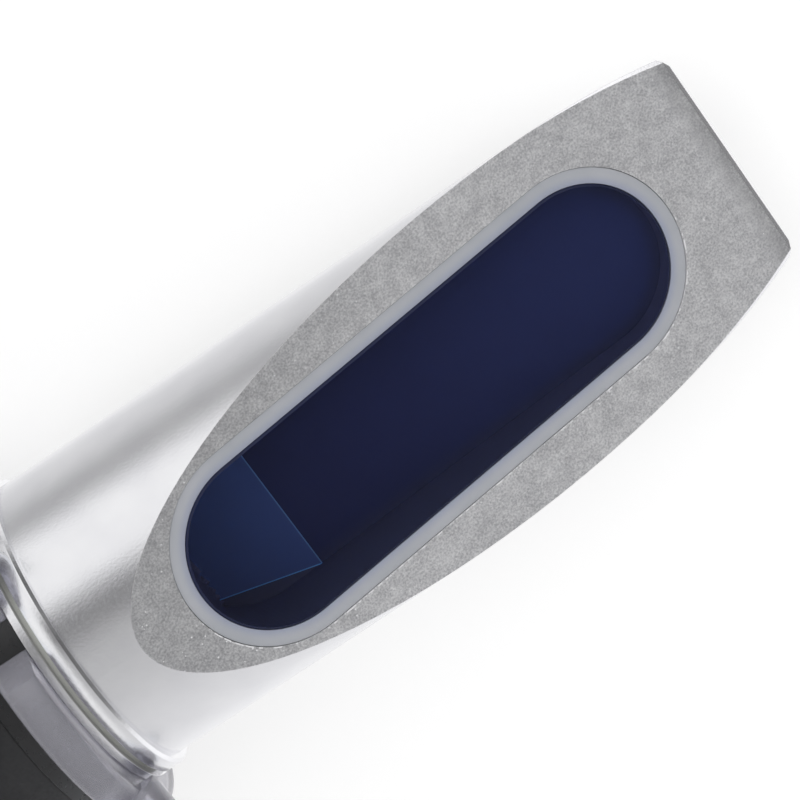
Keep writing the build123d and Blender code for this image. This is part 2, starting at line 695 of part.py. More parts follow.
# Objective cell: a ring with a front lip for the lens pair, and a flat pad on top for the bimetal strip
with BuildPart() as objective_cell:
    revolve(
        turned(
            (cell_x, cell_bore_r - CELL_LIP_HEIGHT),
            (cell_x, cell_r),
            (cell_end_x, cell_r),
            (cell_end_x, cell_bore_r),
            (cell_x - CELL_LIP_LENGTH, cell_bore_r),
            (cell_x - CELL_LIP_LENGTH, cell_bore_r - CELL_LIP_HEIGHT),
        ),
        axis=Axis.X,
    )
    with BuildSketch(Plane(((cell_x + cell_end_x) / 2, 0, strip_z))):
        Rectangle(CELL_LENGTH, PAD_WIDTH)
    extrude(amount=-PAD_DEPTH)
    revolve(
        ring(cell_x - CELL_LIP_LENGTH, cell_end_x, 0, cell_bore_r),
        axis=Axis.X,
        mode=Mode.SUBTRACT,
    )
    with Locations((strip_screw_xs[0], 0, strip_z)):
        Hole(STRIP_SCREW_R + SEAT_GAP / 2, depth=STRIP_SCREW_LENGTH)
save(objective_cell, "objective_cell")

# Objective lenses: a cemented pair, a biconvex crown in front of a hollow-ground flint
crown_rim_x = cell_x - CELL_LIP_LENGTH - LENS_SEAT_GAP
crown_rear_rim_x = crown_rim_x - CROWN_RIM_THICKNESS
flint_rim_x = crown_rear_rim_x - SEAT_GAP
flint_rear_x = flint_rim_x - FLINT_RIM_THICKNESS
with BuildPart() as crown_lens:
    revolve(
        lens_profile(crown_rim_x + LENS_SAG, crown_rim_x, crown_rear_rim_x, crown_rear_rim_x - LENS_SAG, lens_r),
        axis=Axis.X,
    )
save(crown_lens, "crown_lens")
with BuildPart() as flint_lens:
    revolve(
        lens_profile(flint_rim_x - LENS_SAG, flint_rim_x, flint_rear_x, flint_rear_x, lens_r), axis=Axis.X
    )
save(flint_lens, "flint_lens")

# Lens retainer: a ring behind the pair, slotted for a spanner
retainer_x = flint_rear_x - SEAT_GAP
with BuildPart() as lens_retainer:
    revolve(
        ring(retainer_x, retainer_x - RETAINER_LENGTH, lens_r - RETAINER_WALL, lens_r), axis=Axis.X
    )
    with BuildSketch(Plane.YZ.offset(retainer_x - RETAINER_LENGTH)):
        Rectangle(4 * lens_r, SPANNER_SLOT)
    extrude(amount=SPANNER_SLOT, mode=Mode.SUBTRACT)
save(lens_retainer, "lens_retainer")

# Bimetal strip: carries the objective cell at its free end and bends a little as it warms
strip_middle_x = (strip_front_x + strip_rear_x) / 2
with BuildPart() as bimetal_strip:
    with BuildSketch(Plane((strip_middle_x, 0, strip_z))):
        RectangleRounded(strip_front_x - strip_rear_x, STRIP_WIDTH, STRIP_WIDTH / 4)
    extrude(amount=STRIP_THICKNESS)
    for screw_x in strip_screw_xs:
        with Locations((screw_x, 0, strip_z + STRIP_THICKNESS)):
            Hole(STRIP_SCREW_R + SEAT_GAP / 2, depth=STRIP_THICKNESS)
    with Locations((SCREW_X, 0, strip_z + STRIP_THICKNESS)):
        Hole(SCREW_R + 4 * RUNNING_GAP, depth=STRIP_THICKNESS)
save(bimetal_strip, "bimetal_strip")

# Adjuster block: a brass nut on the calibration screw, under the strip's fixed end
with BuildPart() as adjuster_block:
    with BuildSketch(Plane((block_rear_x + BLOCK_LENGTH / 2, 0, block_floor_z))):
        Rectangle(BLOCK_LENGTH, BLOCK_WIDTH)
    extrude(amount=strip_z - block_floor_z)
    chamfer(edges().filter_by(Axis.Z), EDGE_BREAK)
    with Locations((SCREW_X, 0, strip_z)):
        Hole(SCREW_R + RUNNING_GAP)
    with Locations((strip_screw_xs[1], 0, strip_z)):
        Hole(STRIP_SCREW_R + SEAT_GAP / 2, depth=STRIP_SCREW_LENGTH)
save(adjuster_block, "adjuster_block")

# Strip screws: one holds the strip to the cell's pad, the other to the block
with BuildPart() as strip_screws:
    for screw_x in strip_screw_xs:
        with BuildSketch(Plane((screw_x, 0, strip_z + STRIP_THICKNESS))):
            Circle(STRIP_SCREW_HEAD_R)
        extrude(amount=STRIP_SCREW_HEAD_HEIGHT)
        with BuildSketch(Plane((screw_x, 0, strip_z + STRIP_THICKNESS))):
            Circle(STRIP_SCREW_R)
        extrude(amount=SEAT_GAP - STRIP_SCREW_LENGTH - STRIP_THICKNESS)
        with BuildSketch(Plane((screw_x, 0, strip_z + STRIP_THICKNESS + STRIP_SCREW_HEAD_HEIGHT))):
            Rectangle(4 * STRIP_SCREW_HEAD_R, STRIP_SCREW_SLOT)
        extrude(amount=-STRIP_SCREW_SLOT, mode=Mode.SUBTRACT)
save(strip_screws, "strip_screws")

# Focus bush: its front spigot holds the reticle in the tube, its rear sleeve carries the focus ring
with BuildPart() as focus_bush:
    revolve(
        turned(
            (bush_front_x, reticle_r + SEAT_GAP),
            (bush_front_x, fitted_r),
            (tube_end_x, fitted_r),
            (tube_end_x, flange_r),
            (flange_end_x, flange_r),
            (flange_end_x, sleeve_r),
            (snap_groove_x, sleeve_r),
            (snap_groove_x, snap_groove_r),
            (snap_groove_end_x, snap_groove_r),
            (snap_groove_end_x, sleeve_r),
            (sleeve_end_x, sleeve_r),
            (sleeve_end_x, bush_bore_r),
            (bush_front_x - RETICLE_SEAT_DEPTH, bush_bore_r),
            (bush_front_x - RETICLE_SEAT_DEPTH, reticle_r + SEAT_GAP),
        ),
        axis=Axis.X,
    )
    with Locations((guide_pin_x, 0, -pin_tip_r)):
        Hole(GUIDE_PIN_R + SEAT_GAP / 2, depth=tube_bore_r - pin_tip_r)
save(focus_bush, "focus_bush")

# Guide pin: keeps the lens barrel from turning as the focus ring screws it in and out
with BuildPart() as guide_pin:
    with BuildSketch(Plane((guide_pin_x, 0, -pin_tip_r))):
        Circle(GUIDE_PIN_R)
    extrude(amount=pin_tip_r + SEAT_GAP - fitted_r)
save(guide_pin, "guide_pin")

# Reticle and its retainer: a glass disc at the eyepiece's focus, held by a slotted ring
with BuildPart() as reticle_retainer:
    revolve(
        ring(bush_front_x, bush_retainer_x, reticle_r - RETICLE_RETAINER_WALL, reticle_r), axis=Axis.X
    )
    with BuildSketch(Plane.YZ.offset(bush_front_x)):
        Rectangle(4 * reticle_r, SPANNER_SLOT)
    extrude(amount=-SPANNER_SLOT, mode=Mode.SUBTRACT)
save(reticle_retainer, "reticle_retainer")
with BuildPart() as reticle:
    with BuildSketch(Plane.YZ.offset(bush_retainer_x - SEAT_GAP)):
        Circle(reticle_r)
    extrude(amount=-RETICLE_THICKNESS)
save(reticle, "reticle")

# Focus washer and snap ring: the focus ring turns between them
with BuildPart() as focus_washer:
    revolve(
        ring(flange_end_x, flange_end_x - WASHER_THICKNESS, sleeve_r + SEAT_GAP, flange_r - WASHER_MARGIN),
        axis=Axis.X,
    )
save(focus_washer, "focus_washer")
snap_ring_r = sleeve_r + SNAP_RING_HEIGHT
snap_ring_x = snap_groove_x - SEAT_GAP
snap_ring_end_x = snap_groove_end_x + SEAT_GAP
with BuildPart() as snap_ring:
    revolve(
        ring(snap_ring_x, snap_ring_end_x, snap_groove_r + SEAT_GAP, snap_ring_r), axis=Axis.X
    )
    with BuildSketch(Plane.YZ.offset(snap_ring_x)):
        with Locations((0, snap_ring_r)):
            Rectangle(SNAP_RING_GAP, 2 * snap_groove_r)
    extrude(amount=snap_ring_end_x - snap_ring_x, mode=Mode.SUBTRACT)
save(snap_ring, "snap_ring")

# Focus ring: a fluted band that turns on the bush's sleeve, with a plain tail for the eyecup
snap_face_x = snap_groove_x + FACE_GAP
with BuildPart() as focus_ring:
    revolve(
        turned(
            (focus_ring_x, sleeve_r + RUNNING_GAP),
            (focus_ring_x, focus_ring_r - EDGE_BREAK),
            (focus_ring_x - EDGE_BREAK, focus_ring_r),
            (band_end_x + EDGE_BREAK, focus_ring_r),
            (band_end_x, focus_ring_r - EDGE_BREAK),
            (band_end_x, ring_tail_r),
            (ring_tail_x, ring_tail_r),
            (ring_tail_x, ring_pocket_r),
            (snap_face_x, ring_pocket_r),
            (snap_face_x, sleeve_r + RUNNING_GAP),
        ),
        axis=Axis.X,
    )
    with BuildSketch(Plane.YZ.offset(focus_ring_x - KNURL_MARGIN)):
        with PolarLocations(focus_ring_r - KNURL_DEPTH + KNURL_R, KNURL_COUNT):
            Circle(KNURL_R)
    extrude(amount=2 * KNURL_MARGIN - FOCUS_RING_BAND_LENGTH, mode=Mode.SUBTRACT)
save(focus_ring, "focus_ring")

# Focus nut: fixed in the focus ring's tail, its thread drives the lens barrel
with BuildPart() as focus_nut:
    revolve(ring(nut_x, nut_end_x, bush_bore_r, nut_r), axis=Axis.X)
    with BuildSketch(Plane.YZ.offset(nut_end_x)):
        Rectangle(4 * bush_bore_r, 2 * SPANNER_SLOT)
    extrude(amount=SPANNER_SLOT, mode=Mode.SUBTRACT)
save(focus_nut, "focus_nut")

# Lens barrel: slides in the bush, with a front lip for the field lens and a slot for the guide pin
with BuildPart() as lens_barrel:
    revolve(
        turned(
            (lens_barrel_x, lens_barrel_bore_r - LENS_BARREL_LIP_HEIGHT),
            (lens_barrel_x, lens_barrel_r),
            (lens_barrel_end_x, lens_barrel_r),
            (lens_barrel_end_x, lens_barrel_bore_r),
            (lens_barrel_x - LENS_BARREL_LIP_LENGTH, lens_barrel_bore_r),
            (lens_barrel_x - LENS_BARREL_LIP_LENGTH, lens_barrel_bore_r - LENS_BARREL_LIP_HEIGHT),
        ),
        axis=Axis.X,
    )
    with BuildSketch(Plane((guide_pin_x, 0, FACE_GAP - pin_tip_r))):
        SlotOverall(GUIDE_SLOT_LENGTH, 2 * (GUIDE_PIN_R + RUNNING_GAP))
    extrude(amount=pin_tip_r - bush_bore_r - FACE_GAP, mode=Mode.SUBTRACT)
save(lens_barrel, "lens_barrel")

# Eyepiece lenses: flat outer faces, domed towards each other, held apart by a spacer
field_lens_x = lens_barrel_x - LENS_BARREL_LIP_LENGTH
field_rim_x = field_lens_x - FIELD_LENS_RIM
eye_retainer_x = lens_barrel_end_x + EYE_RETAINER_RECESS + EYE_RETAINER_LENGTH
eye_lens_end_x = eye_retainer_x + SEAT_GAP
eye_rim_x = eye_lens_end_x + EYE_LENS_RIM
with BuildPart() as field_lens:
    revolve(
        lens_profile(field_lens_x, field_lens_x, field_rim_x, field_rim_x - EYE_LENS_SAG, eye_lens_r),
        axis=Axis.X,
    )
save(field_lens, "field_lens")
with BuildPart() as eye_lens:
    revolve(
        lens_profile(eye_rim_x + EYE_LENS_SAG, eye_rim_x, eye_lens_end_x, eye_lens_end_x, eye_lens_r),
        axis=Axis.X,
    )
save(eye_lens, "eye_lens")

# The domes' common radius says how far in the spacer's edge meets them
dome_r = (eye_lens_r**2 + EYE_LENS_SAG**2) / (2 * EYE_LENS_SAG)
spacer_bore_r = eye_lens_r - SPACER_WALL
dome_rise = EYE_LENS_SAG - dome_r + sqrt(dome_r**2 - spacer_bore_r**2)
spacer_x = field_rim_x - dome_rise - SEAT_GAP
spacer_end_x = eye_rim_x + dome_rise + SEAT_GAP
with BuildPart() as lens_spacer:
    revolve(ring(spacer_x, spacer_end_x, spacer_bore_r, eye_lens_r), axis=Axis.X)
save(lens_spacer, "lens_spacer")

# Eye lens retainer: the ring round the lens that the user looks into
eye_retainer_hole_r = eye_lens_r - EYE_RETAINER_WALL
eye_retainer_end_x = eye_retainer_x - EYE_RETAINER_LENGTH
with BuildPart() as eye_lens_retainer:
    revolve(
        turned(
            (eye_retainer_x, eye_retainer_hole_r),
            (eye_retainer_x, eye_lens_r),
            (eye_retainer_end_x, eye_lens_r),
            (eye_retainer_end_x, eye_retainer_hole_r + EDGE_BREAK),
            (eye_retainer_end_x + EDGE_BREAK, eye_retainer_hole_r),
        ),
        axis=Axis.X,
    )
    with BuildSketch(Plane.YZ.offset(eye_retainer_end_x)):
        Rectangle(4 * eye_lens_r, SPANNER_SLOT)
    extrude(amount=SPANNER_SLOT, mode=Mode.SUBTRACT)
save(eye_lens_retainer, "eye_lens_retainer")

# Eyecup: a soft flared cup, sprung over the focus ring's tail
cup_seat_x = ring_tail_x - FACE_GAP
cup_groove_xs = [
    cup_throat_x - CUP_GROOVE_START - CUP_GROOVE_PITCH * number for number in range(CUP_GROOVE_COUNT)
]
with BuildPart() as eyecup:
    revolve(
        turned(
            (cup_x, ring_tail_r + SEAT_GAP),
            (cup_x, focus_ring_r - CUP_STEP),
            (cup_throat_x, cup_waist_r),
            (cup_groove_xs[-1], cup_waist_r),
            (cup_end_x, cup_rim_r),
            (cup_end_x, cup_rim_r - CUP_RIM_WALL),
            (cup_throat_x, cup_throat_r),
            (cup_seat_x, cup_throat_r),
            (cup_seat_x, ring_tail_r + SEAT_GAP),
        ),
        axis=Axis.X,
    )
    for groove_x in cup_groove_xs:
        revolve(
            ring(groove_x, groove_x - CUP_GROOVE_WIDTH, cup_waist_r - CUP_GROOVE_DEPTH, cup_rim_r),
            axis=Axis.X,
            mode=Mode.SUBTRACT,
        )
    fillet(edges().group_by(Axis.X)[0], CUP_RIM_ROUND)
save(eyecup, "eyecup")
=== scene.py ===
import logging
import math
from dataclasses import dataclass
from enum import Enum
from typing import Any

import bmesh
import bpy
import numpy as np
from mathutils import Matrix


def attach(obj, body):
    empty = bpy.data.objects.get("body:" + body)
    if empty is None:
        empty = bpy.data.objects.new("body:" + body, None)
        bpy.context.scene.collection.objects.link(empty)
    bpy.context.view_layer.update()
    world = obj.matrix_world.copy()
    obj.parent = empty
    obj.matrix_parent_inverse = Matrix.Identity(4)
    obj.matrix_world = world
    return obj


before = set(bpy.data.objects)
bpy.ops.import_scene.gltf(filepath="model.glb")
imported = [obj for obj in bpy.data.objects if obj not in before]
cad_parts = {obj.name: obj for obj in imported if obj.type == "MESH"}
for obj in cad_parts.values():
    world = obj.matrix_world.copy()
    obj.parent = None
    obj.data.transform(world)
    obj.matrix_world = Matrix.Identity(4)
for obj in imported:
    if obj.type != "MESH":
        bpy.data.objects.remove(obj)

# Finishes, fine pieces and studio for a handheld salinity refractometer.
# X is the optical axis, positive towards the prism tip. Z is up, on the sample face's side.
# Sizes are written in millimetres, and MM turns them to metres.

MM = 0.001
MERGE_MM = 0.002
BEVEL_SAMPLES = 4
NOISE_DETAIL = 3.0
NOISE_RANGE = (0.3, 0.7)
LOG = logging.getLogger("refractometer")
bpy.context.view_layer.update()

Colour = tuple[float, float, float, float]
Vector3 = tuple[float, float, float]
Span = tuple[float, float]

WHITE: Colour = (1.0, 1.0, 1.0, 1.0)


def linear(code: str) -> Colour:
    """Turn an sRGB hex code into a linear colour, by the curve that the sRGB standard gives.

    Args:
        code: six hex digits after a hash sign.

    Returns:
        Red, green, blue and an alpha of 1, each linear.
    """
    parts = [int(code[place : place + 2], 16) / 255 for place in (1, 3, 5)]
    red, green, blue = (
        part / 12.92 if part <= 0.04045 else ((part + 0.055) / 1.055) ** 2.4 for part in parts
    )
    return red, green, blue, 1.0


def add_node(
    tree: bpy.types.NodeTree, kind: str, inputs: dict[Any, Any] | None = None, **settings: Any
) -> bpy.types.Node:
    """Add a node with its settings, socket values and links.

    Args:
        tree: the node tree to add to.
        kind: the node's type name.
        inputs: socket name or number, to a value or to the output socket that feeds it.
        settings: the node's own properties.

    Returns:
        The new node.
    """
    node = tree.nodes.new(kind)
    for name, value in settings.items():
        setattr(node, name, value)
    for name, value in (inputs or {}).items():
        if isinstance(value, bpy.types.NodeSocket):
            tree.links.new(value, node.inputs[name])
        else:
            node.inputs[name].default_value = value
    return node


def calculate(
    tree: bpy.types.NodeTree, operation: str, first: Any, second: Any = 0.0
) -> bpy.types.NodeSocket:
    """Return the result of one sum on two numbers or sockets."""
    return add_node(tree, "ShaderNodeMath", {0: first, 1: second}, operation=operation).outputs[0]


def remap(
    tree: bpy.types.NodeTree,
    value: bpy.types.NodeSocket,
    start: Span,
    end: Span = (0.0, 1.0),
    curve: str = "LINEAR",
) -> bpy.types.NodeSocket:
    """Move a number over the end span while the value moves over the start span.

    Args:
        tree: the node tree to add to.
        value: the number that is read.
        start: the value's own two levels.
        end: the result at each of them, which it keeps beyond them.
        curve: how the result moves in between, LINEAR or SMOOTHSTEP.

    Returns:
        The socket with the result.
    """
    levels = {"Value": value, "From Min": start[0], "From Max": start[1], "To Min": end[0], "To Max": end[1]}
    return add_node(tree, "ShaderNodeMapRange", levels, interpolation_type=curve).outputs[0]


def dot_product(
    tree: bpy.types.NodeTree, place: bpy.types.NodeSocket, way: Vector3
) -> bpy.types.NodeSocket:
    """Return how far a place lies along a way."""
    dot = add_node(tree, "ShaderNodeVectorMath", {0: place, 1: way}, operation="DOT_PRODUCT")
    return dot.outputs["Value"]


def own_place(tree: bpy.types.NodeTree) -> bpy.types.NodeSocket:
    """Return the socket with a point's place on its object."""
    return add_node(tree, "ShaderNodeTexCoord").outputs["Object"]


def split(tree: bpy.types.NodeTree, place: bpy.types.NodeSocket) -> Any:
    """Return a place's X, Y and Z sockets, under those names."""
    return add_node(tree, "ShaderNodeSeparateXYZ", {0: place}).outputs


def in_metres(span: Span) -> Span:
    """Return a span given in millimetres as one in metres."""
    return span[0] * MM, span[1] * MM


def per_mm(size: float) -> float:
    """Return the texture scale, in cells per metre, of a pattern whose cells are size millimetres wide."""
    return 1.0 / (size * MM)


class Grain(Enum):
    """How a surface's grain lies, as the stretch of its pattern along X, Y and Z."""

    ALL_WAYS = (1.0, 1.0, 1.0)
    TURNED = (6.0, 0.3, 0.3)


@dataclass(frozen=True)
class Facet:
    """Where the slanted facet and its window lie on the head."""

    start: Vector3 = (4.4, 0.0, 12.0)
    angle: float = 19.7
    rear_centre: float = 12.5
    front_centre: float = 43.4
    half_width: float = 6.72
    sealant_width: float = 1.3

    def along(self) -> Vector3:
        """Return the direction that runs down the facet towards the tip."""
        return math.cos(math.radians(self.angle)), 0.0, -math.sin(math.radians(self.angle))

    def normal(self) -> Vector3:
        """Return the facet's outward normal."""
        return math.sin(math.radians(self.angle)), 0.0, math.cos(math.radians(self.angle))

    def height(self, tree: bpy.types.NodeTree, where: bpy.types.NodeSocket) -> bpy.types.NodeSocket:
        """Return the socket with a point's height above the facet, in metres: (P - start) . normal."""
        offset = sum(part * way for part, way in zip(self.start, self.normal())) * MM
        return calculate(tree, "SUBTRACT", dot_product(tree, where, self.normal()), offset)

    def spread(self, tree: bpy.types.NodeTree, where: bpy.types.NodeSocket) -> bpy.types.NodeSocket:
        """Return the socket with a point's distance from the window's middle line, in metres.

        With u along the facet and v across it, the distance is the length of (u - u held between
        the two centres, v), so that its contours are stadiums.
        """
        offset = sum(part * way for part, way in zip(self.start, self.along())) * MM
        place = calculate(tree, "SUBTRACT", dot_product(tree, where, self.along()), offset)
        held = calculate(tree, "MAXIMUM", place, self.rear_centre * MM)
        held = calculate(tree, "MINIMUM", held, self.front_centre * MM)
        across = split(tree, where)["Y"]
        over = calculate(tree, "SUBTRACT", place, held)
        step = add_node(tree, "ShaderNodeCombineXYZ", {0: over, 1: across}).outputs[0]
        return add_node(tree, "ShaderNodeVectorMath", {0: step}, operation="LENGTH").outputs["Value"]


FACET = Facet()


@dataclass(frozen=True)
class PrismFloor:
    """Where the prism's underside lies: a level floor at the hinge end, then a long slope to the nose."""

    bend_x: float = 14.7
    nose_x: float = 58.7
    floor_z: float = -5.5
    nose_z: float = -8.3

    def slope(self) -> float:
        """Return how far the sloping floor rises for each step towards the nose, so less than 0."""
        return (self.nose_z - self.floor_z) / (self.nose_x - self.bend_x)


PRISM_FLOOR = PrismFloor()


@dataclass(frozen=True)
class Finish:
    """A real finish: a base colour with soft mottling, and a grain in its gloss and its relief."""

    name: str
    colour: str
    shade: str
    roughness: float
    metallic: float = 0.0
    ior: float = 1.5
    grain_mm: float = 0.3
    relief_mm: float = 0.004
    mottle_mm: float = 4.0
    spread: float = 0.05
    edge_mm: float = 0.12
    grain: Grain = Grain.ALL_WAYS

    def make(self) -> bpy.types.Material:
        """Build the material.

        Returns:
            The finished material.
        """
        material = bpy.data.materials.new(self.name)
        material.use_nodes = True
        tree = material.node_tree
        tree.nodes.clear()
        shader = add_node(
            tree, "ShaderNodeBsdfPrincipled", {"Metallic": self.metallic, "Roughness": self.roughness}
        )
        if not self.metallic:
            shader.inputs["IOR"].default_value = self.ior
        self.dress(tree, shader)
        add_node(tree, "ShaderNodeOutputMaterial", {"Surface": shader.outputs["BSDF"]})
        return material

    def where(self, tree: bpy.types.NodeTree) -> bpy.types.NodeSocket:
        """Return the socket with a point's place on the object, stretched the way the grain lies."""
        scale = {"Vector": own_place(tree), "Scale": self.grain.value}
        return add_node(tree, "ShaderNodeMapping", scale).outputs[0]

    def noise(
        self, tree: bpy.types.NodeTree, place: bpy.types.NodeSocket, size: float, detail: float = NOISE_DETAIL
    ) -> bpy.types.NodeSocket:
        """Return the grey output of a noise whose lumps are size millimetres wide."""
        return add_node(
            tree, "ShaderNodeTexNoise", {"Vector": place, "Scale": per_mm(size), "Detail": detail}
        ).outputs[0]

    def wander(
        self, tree: bpy.types.NodeTree, fac: bpy.types.NodeSocket, low: float, high: float
    ) -> bpy.types.NodeSocket:
        """Return the number that goes from low to high as fac goes over the middle of a noise's range."""
        return remap(tree, fac, NOISE_RANGE, (low, high))

    def relief(
        self, tree: bpy.types.NodeTree, shader: bpy.types.Node, height: bpy.types.NodeSocket, depth: float
    ) -> None:
        """Give the shader softened edges, and a relief of depth millimetres from a height of 0 to 1."""
        radius = {"Radius": self.edge_mm * MM}
        soft = add_node(tree, "ShaderNodeBevel", radius, samples=BEVEL_SAMPLES).outputs[0]
        levels = {"Height": height, "Strength": 1.0, "Distance": depth * MM, "Normal": soft}
        bump = add_node(tree, "ShaderNodeBump", levels)
        tree.links.new(bump.outputs["Normal"], shader.inputs["Normal"])

    def tone(
        self, tree: bpy.types.NodeTree, fac: bpy.types.NodeSocket, shade: str, colour: str
    ) -> bpy.types.NodeSocket:
        """Return the colour that goes from shade to colour as fac goes over the middle of a noise's range."""
        ramp = add_node(tree, "ShaderNodeValToRGB", {"Fac": fac})
        for element, place, code in zip(ramp.color_ramp.elements, NOISE_RANGE, (shade, colour)):
            element.position = place
            element.color = linear(code)
        return ramp.outputs["Color"]

    def blend(
        self, tree: bpy.types.NodeTree, factor: bpy.types.NodeSocket, first: Any, second: Any
    ) -> bpy.types.NodeSocket:
        """Return the colour that goes from first to second as the factor goes from 0 to 1."""
        return add_node(tree, "ShaderNodeMix", {0: factor, 6: first, 7: second}, data_type="RGBA").outputs[2]

    def dress(self, tree: bpy.types.NodeTree, shader: bpy.types.Node) -> None:
        """Add the mottling, the wander of the gloss and the grain.

        Args:
            tree: the material's node tree.
            shader: its surface shader.
        """
        place = self.where(tree)
        cloud = self.noise(tree, place, self.mottle_mm)
        tree.links.new(self.tone(tree, cloud, self.shade, self.colour), shader.inputs["Base Color"])
        grain = self.noise(tree, place, self.grain_mm)
        least = max(self.roughness - self.spread, 0.0)
        gloss = self.wander(tree, grain, least, self.roughness + self.spread)
        tree.links.new(gloss, shader.inputs["Roughness"])
        self.relief(tree, shader, grain, self.relief_mm)


@dataclass(frozen=True)
class BlastedHead(Finish):
    """Fine bead-blasted, clear-anodised aluminium, with a coarser cut on the facet and a black pocket.

    The eye sees a soft silver sheen whose highlights have broad edges, a duller and speckled facet with
    painted glints, and a hair-thin, broken painted highlight where the facet meets the sealant.
    """

    facet_colour: str = "#fbfbfc"
    facet_shade: str = "#c6c6c9"
    facet_roughness: float = 0.5
    facet_grain_mm: float = 0.16
    facet_relief_mm: float = 0.03
    facet_detail: float = 6.0
    cloud_mm: float = 1.3
    cloud_detail: float = 2.0
    cloud_depth: float = 0.08
    fade_way: Vector3 = (1.0, -0.9, 0.0)
    fade_mm: Span = (8.0, 28.0)
    fade_levels: Span = (0.8, 1.02)
    # Painted glints: small near-white cells scattered over the facet.
    glint_mm: float = 0.16
    glint_share: float = 0.012
    glint_core: float = 0.4
    # Painted highlight: a broken near-white line along the facet's rim, on the -Y side only.
    rim_highlight_mm: float = 0.1
    rim_highlight_length_mm: float = 0.5
    rim_highlight_share: float = 0.51
    rim_highlight_side_mm: float = -1.0
    painted_highlight_colour: str = "#f0f0f2"
    painted_highlight_dullness: float = 0.7
    pocket_colour: str = "#0d0e14"
    channel_mm: float = 1.6
    touch_mm: float = 0.02
    tip_mm: Span = (57.0, 58.2)
    tip_level: float = 0.8
    tip_ragged_mm: float = 2.0
    crown_mm: float = 0.17
    crown_x: float = -0.35

    def cut_face(
        self, tree: bpy.types.NodeTree, place: bpy.types.NodeSocket, cut: bpy.types.NodeSocket
    ) -> bpy.types.NodeSocket:
        """Return the facet's colour: a fine grain, a soft cloud, a fade, and a darker strip at the tip.

        The fade runs along fade_way, darkest towards the hinge. The strip's edge is made ragged by the
        grain, whose height has its middle at a half.

        Args:
            tree: the material's node tree.
            place: the socket with a point's place.
            cut: the socket with the fine grain's height.
        """
        cloud = self.noise(tree, place, self.cloud_mm, self.cloud_detail)
        cloud = self.wander(tree, cloud, -self.cloud_depth, self.cloud_depth)
        grain = self.tone(tree, calculate(tree, "ADD", cut, cloud), self.facet_shade, self.facet_colour)
        slant = dot_product(tree, place, self.fade_way)
        fade = remap(tree, slant, in_metres(self.fade_mm), self.fade_levels)
        ragged = calculate(tree, "MULTIPLY", cut, self.tip_ragged_mm * MM)
        ragged = calculate(tree, "ADD", split(tree, place)["X"], ragged)
        start, end = (edge + 0.5 * self.tip_ragged_mm for edge in self.tip_mm)
        strip = remap(tree, ragged, in_metres((start, end)), (1.0, self.tip_level))
        fade = calculate(tree, "MULTIPLY", fade, strip)
        return add_node(tree, "ShaderNodeVectorMath", {0: grain, "Scale": fade}, operation="SCALE").outputs[0]

    def glints(
        self, tree: bpy.types.NodeTree, place: bpy.types.NodeSocket, share: Any
    ) -> bpy.types.NodeSocket:
        """Return 1 in the core of a share of small cells scattered over the surface, and 0 elsewhere."""
        cells = add_node(tree, "ShaderNodeTexVoronoi", {"Vector": place, "Scale": per_mm(self.glint_mm)})
        parts = add_node(tree, "ShaderNodeSeparateColor", {0: cells.outputs["Color"]})
        chosen = calculate(tree, "LESS_THAN", parts.outputs[0], share)
        inner = calculate(tree, "LESS_THAN", cells.outputs["Distance"], self.glint_core)
        return calculate(tree, "MULTIPLY", chosen, inner)

    def crown(self, tree: bpy.types.NodeTree, place: bpy.types.NodeSocket) -> bpy.types.NodeSocket:
        """Return the height that crowns the shoulder, in shares of the facet's relief.

        The height is -k (x - c)^2 behind the head's cylinder and 0 on it, where c is the shoulder's
        middle and k is crown_mm for each millimetre squared.
        """
        along = split(tree, place)["X"]
        away = calculate(tree, "DIVIDE", calculate(tree, "SUBTRACT", along, self.crown_x * MM), MM)
        bow = calculate(tree, "MULTIPLY", away, away)
        bow = calculate(tree, "MULTIPLY", bow, -self.crown_mm / self.facet_relief_mm)
        return calculate(tree, "MULTIPLY", bow, calculate(tree, "LESS_THAN", along, 0.0))

    def dress(self, tree: bpy.types.NodeTree, shader: bpy.types.Node) -> None:
        """Blend the barrel, the facet, the painted highlights and the pocket by where a point lies.

        Args:
            tree: the material's node tree.
            shader: its surface shader.
        """
        place = own_place(tree)
        height = FACET.height(tree, place)
        spread = FACET.spread(tree, place)
        rim = (FACET.half_width + FACET.sealant_width) * MM
        on_facet = calculate(tree, "GREATER_THAN", height, -self.touch_mm * MM)
        below = calculate(tree, "LESS_THAN", height, -self.channel_mm * MM)
        in_window = calculate(tree, "LESS_THAN", spread, rim + self.touch_mm * MM)
        pocket = calculate(tree, "MULTIPLY", below, in_window)
        lip = calculate(tree, "SUBTRACT", in_window, calculate(tree, "MAXIMUM", pocket, on_facet))
        lip = calculate(tree, "MAXIMUM", lip, 0.0)
        # Painted highlights: a broken near-white line along the rim on the -Y side and small glints on the
        # facet stand in for light caught by the edge and the grain; the channel wall is painted bright too,
        # which lifts the shade in its narrow gap.
        near_rim = calculate(tree, "LESS_THAN", spread, rim + self.rim_highlight_mm * MM)
        near_rim = calculate(tree, "MULTIPLY", near_rim, on_facet)
        cut = self.noise(tree, place, self.facet_grain_mm, self.facet_detail)
        bits = self.noise(tree, place, self.rim_highlight_length_mm)
        broken = calculate(tree, "GREATER_THAN", bits, self.rim_highlight_share)
        near_side = calculate(tree, "LESS_THAN", split(tree, place)["Y"], self.rim_highlight_side_mm * MM)
        rim_highlight = calculate(tree, "MULTIPLY", near_rim, calculate(tree, "MULTIPLY", broken, near_side))
        glint = calculate(tree, "MULTIPLY", on_facet, self.glints(tree, place, self.glint_share))
        bright = calculate(tree, "MAXIMUM", calculate(tree, "MAXIMUM", rim_highlight, glint), lip)

        mottle = self.noise(tree, place, self.mottle_mm)
        barrel = self.tone(tree, mottle, self.shade, self.colour)
        skin = self.blend(tree, on_facet, barrel, self.cut_face(tree, place, cut))
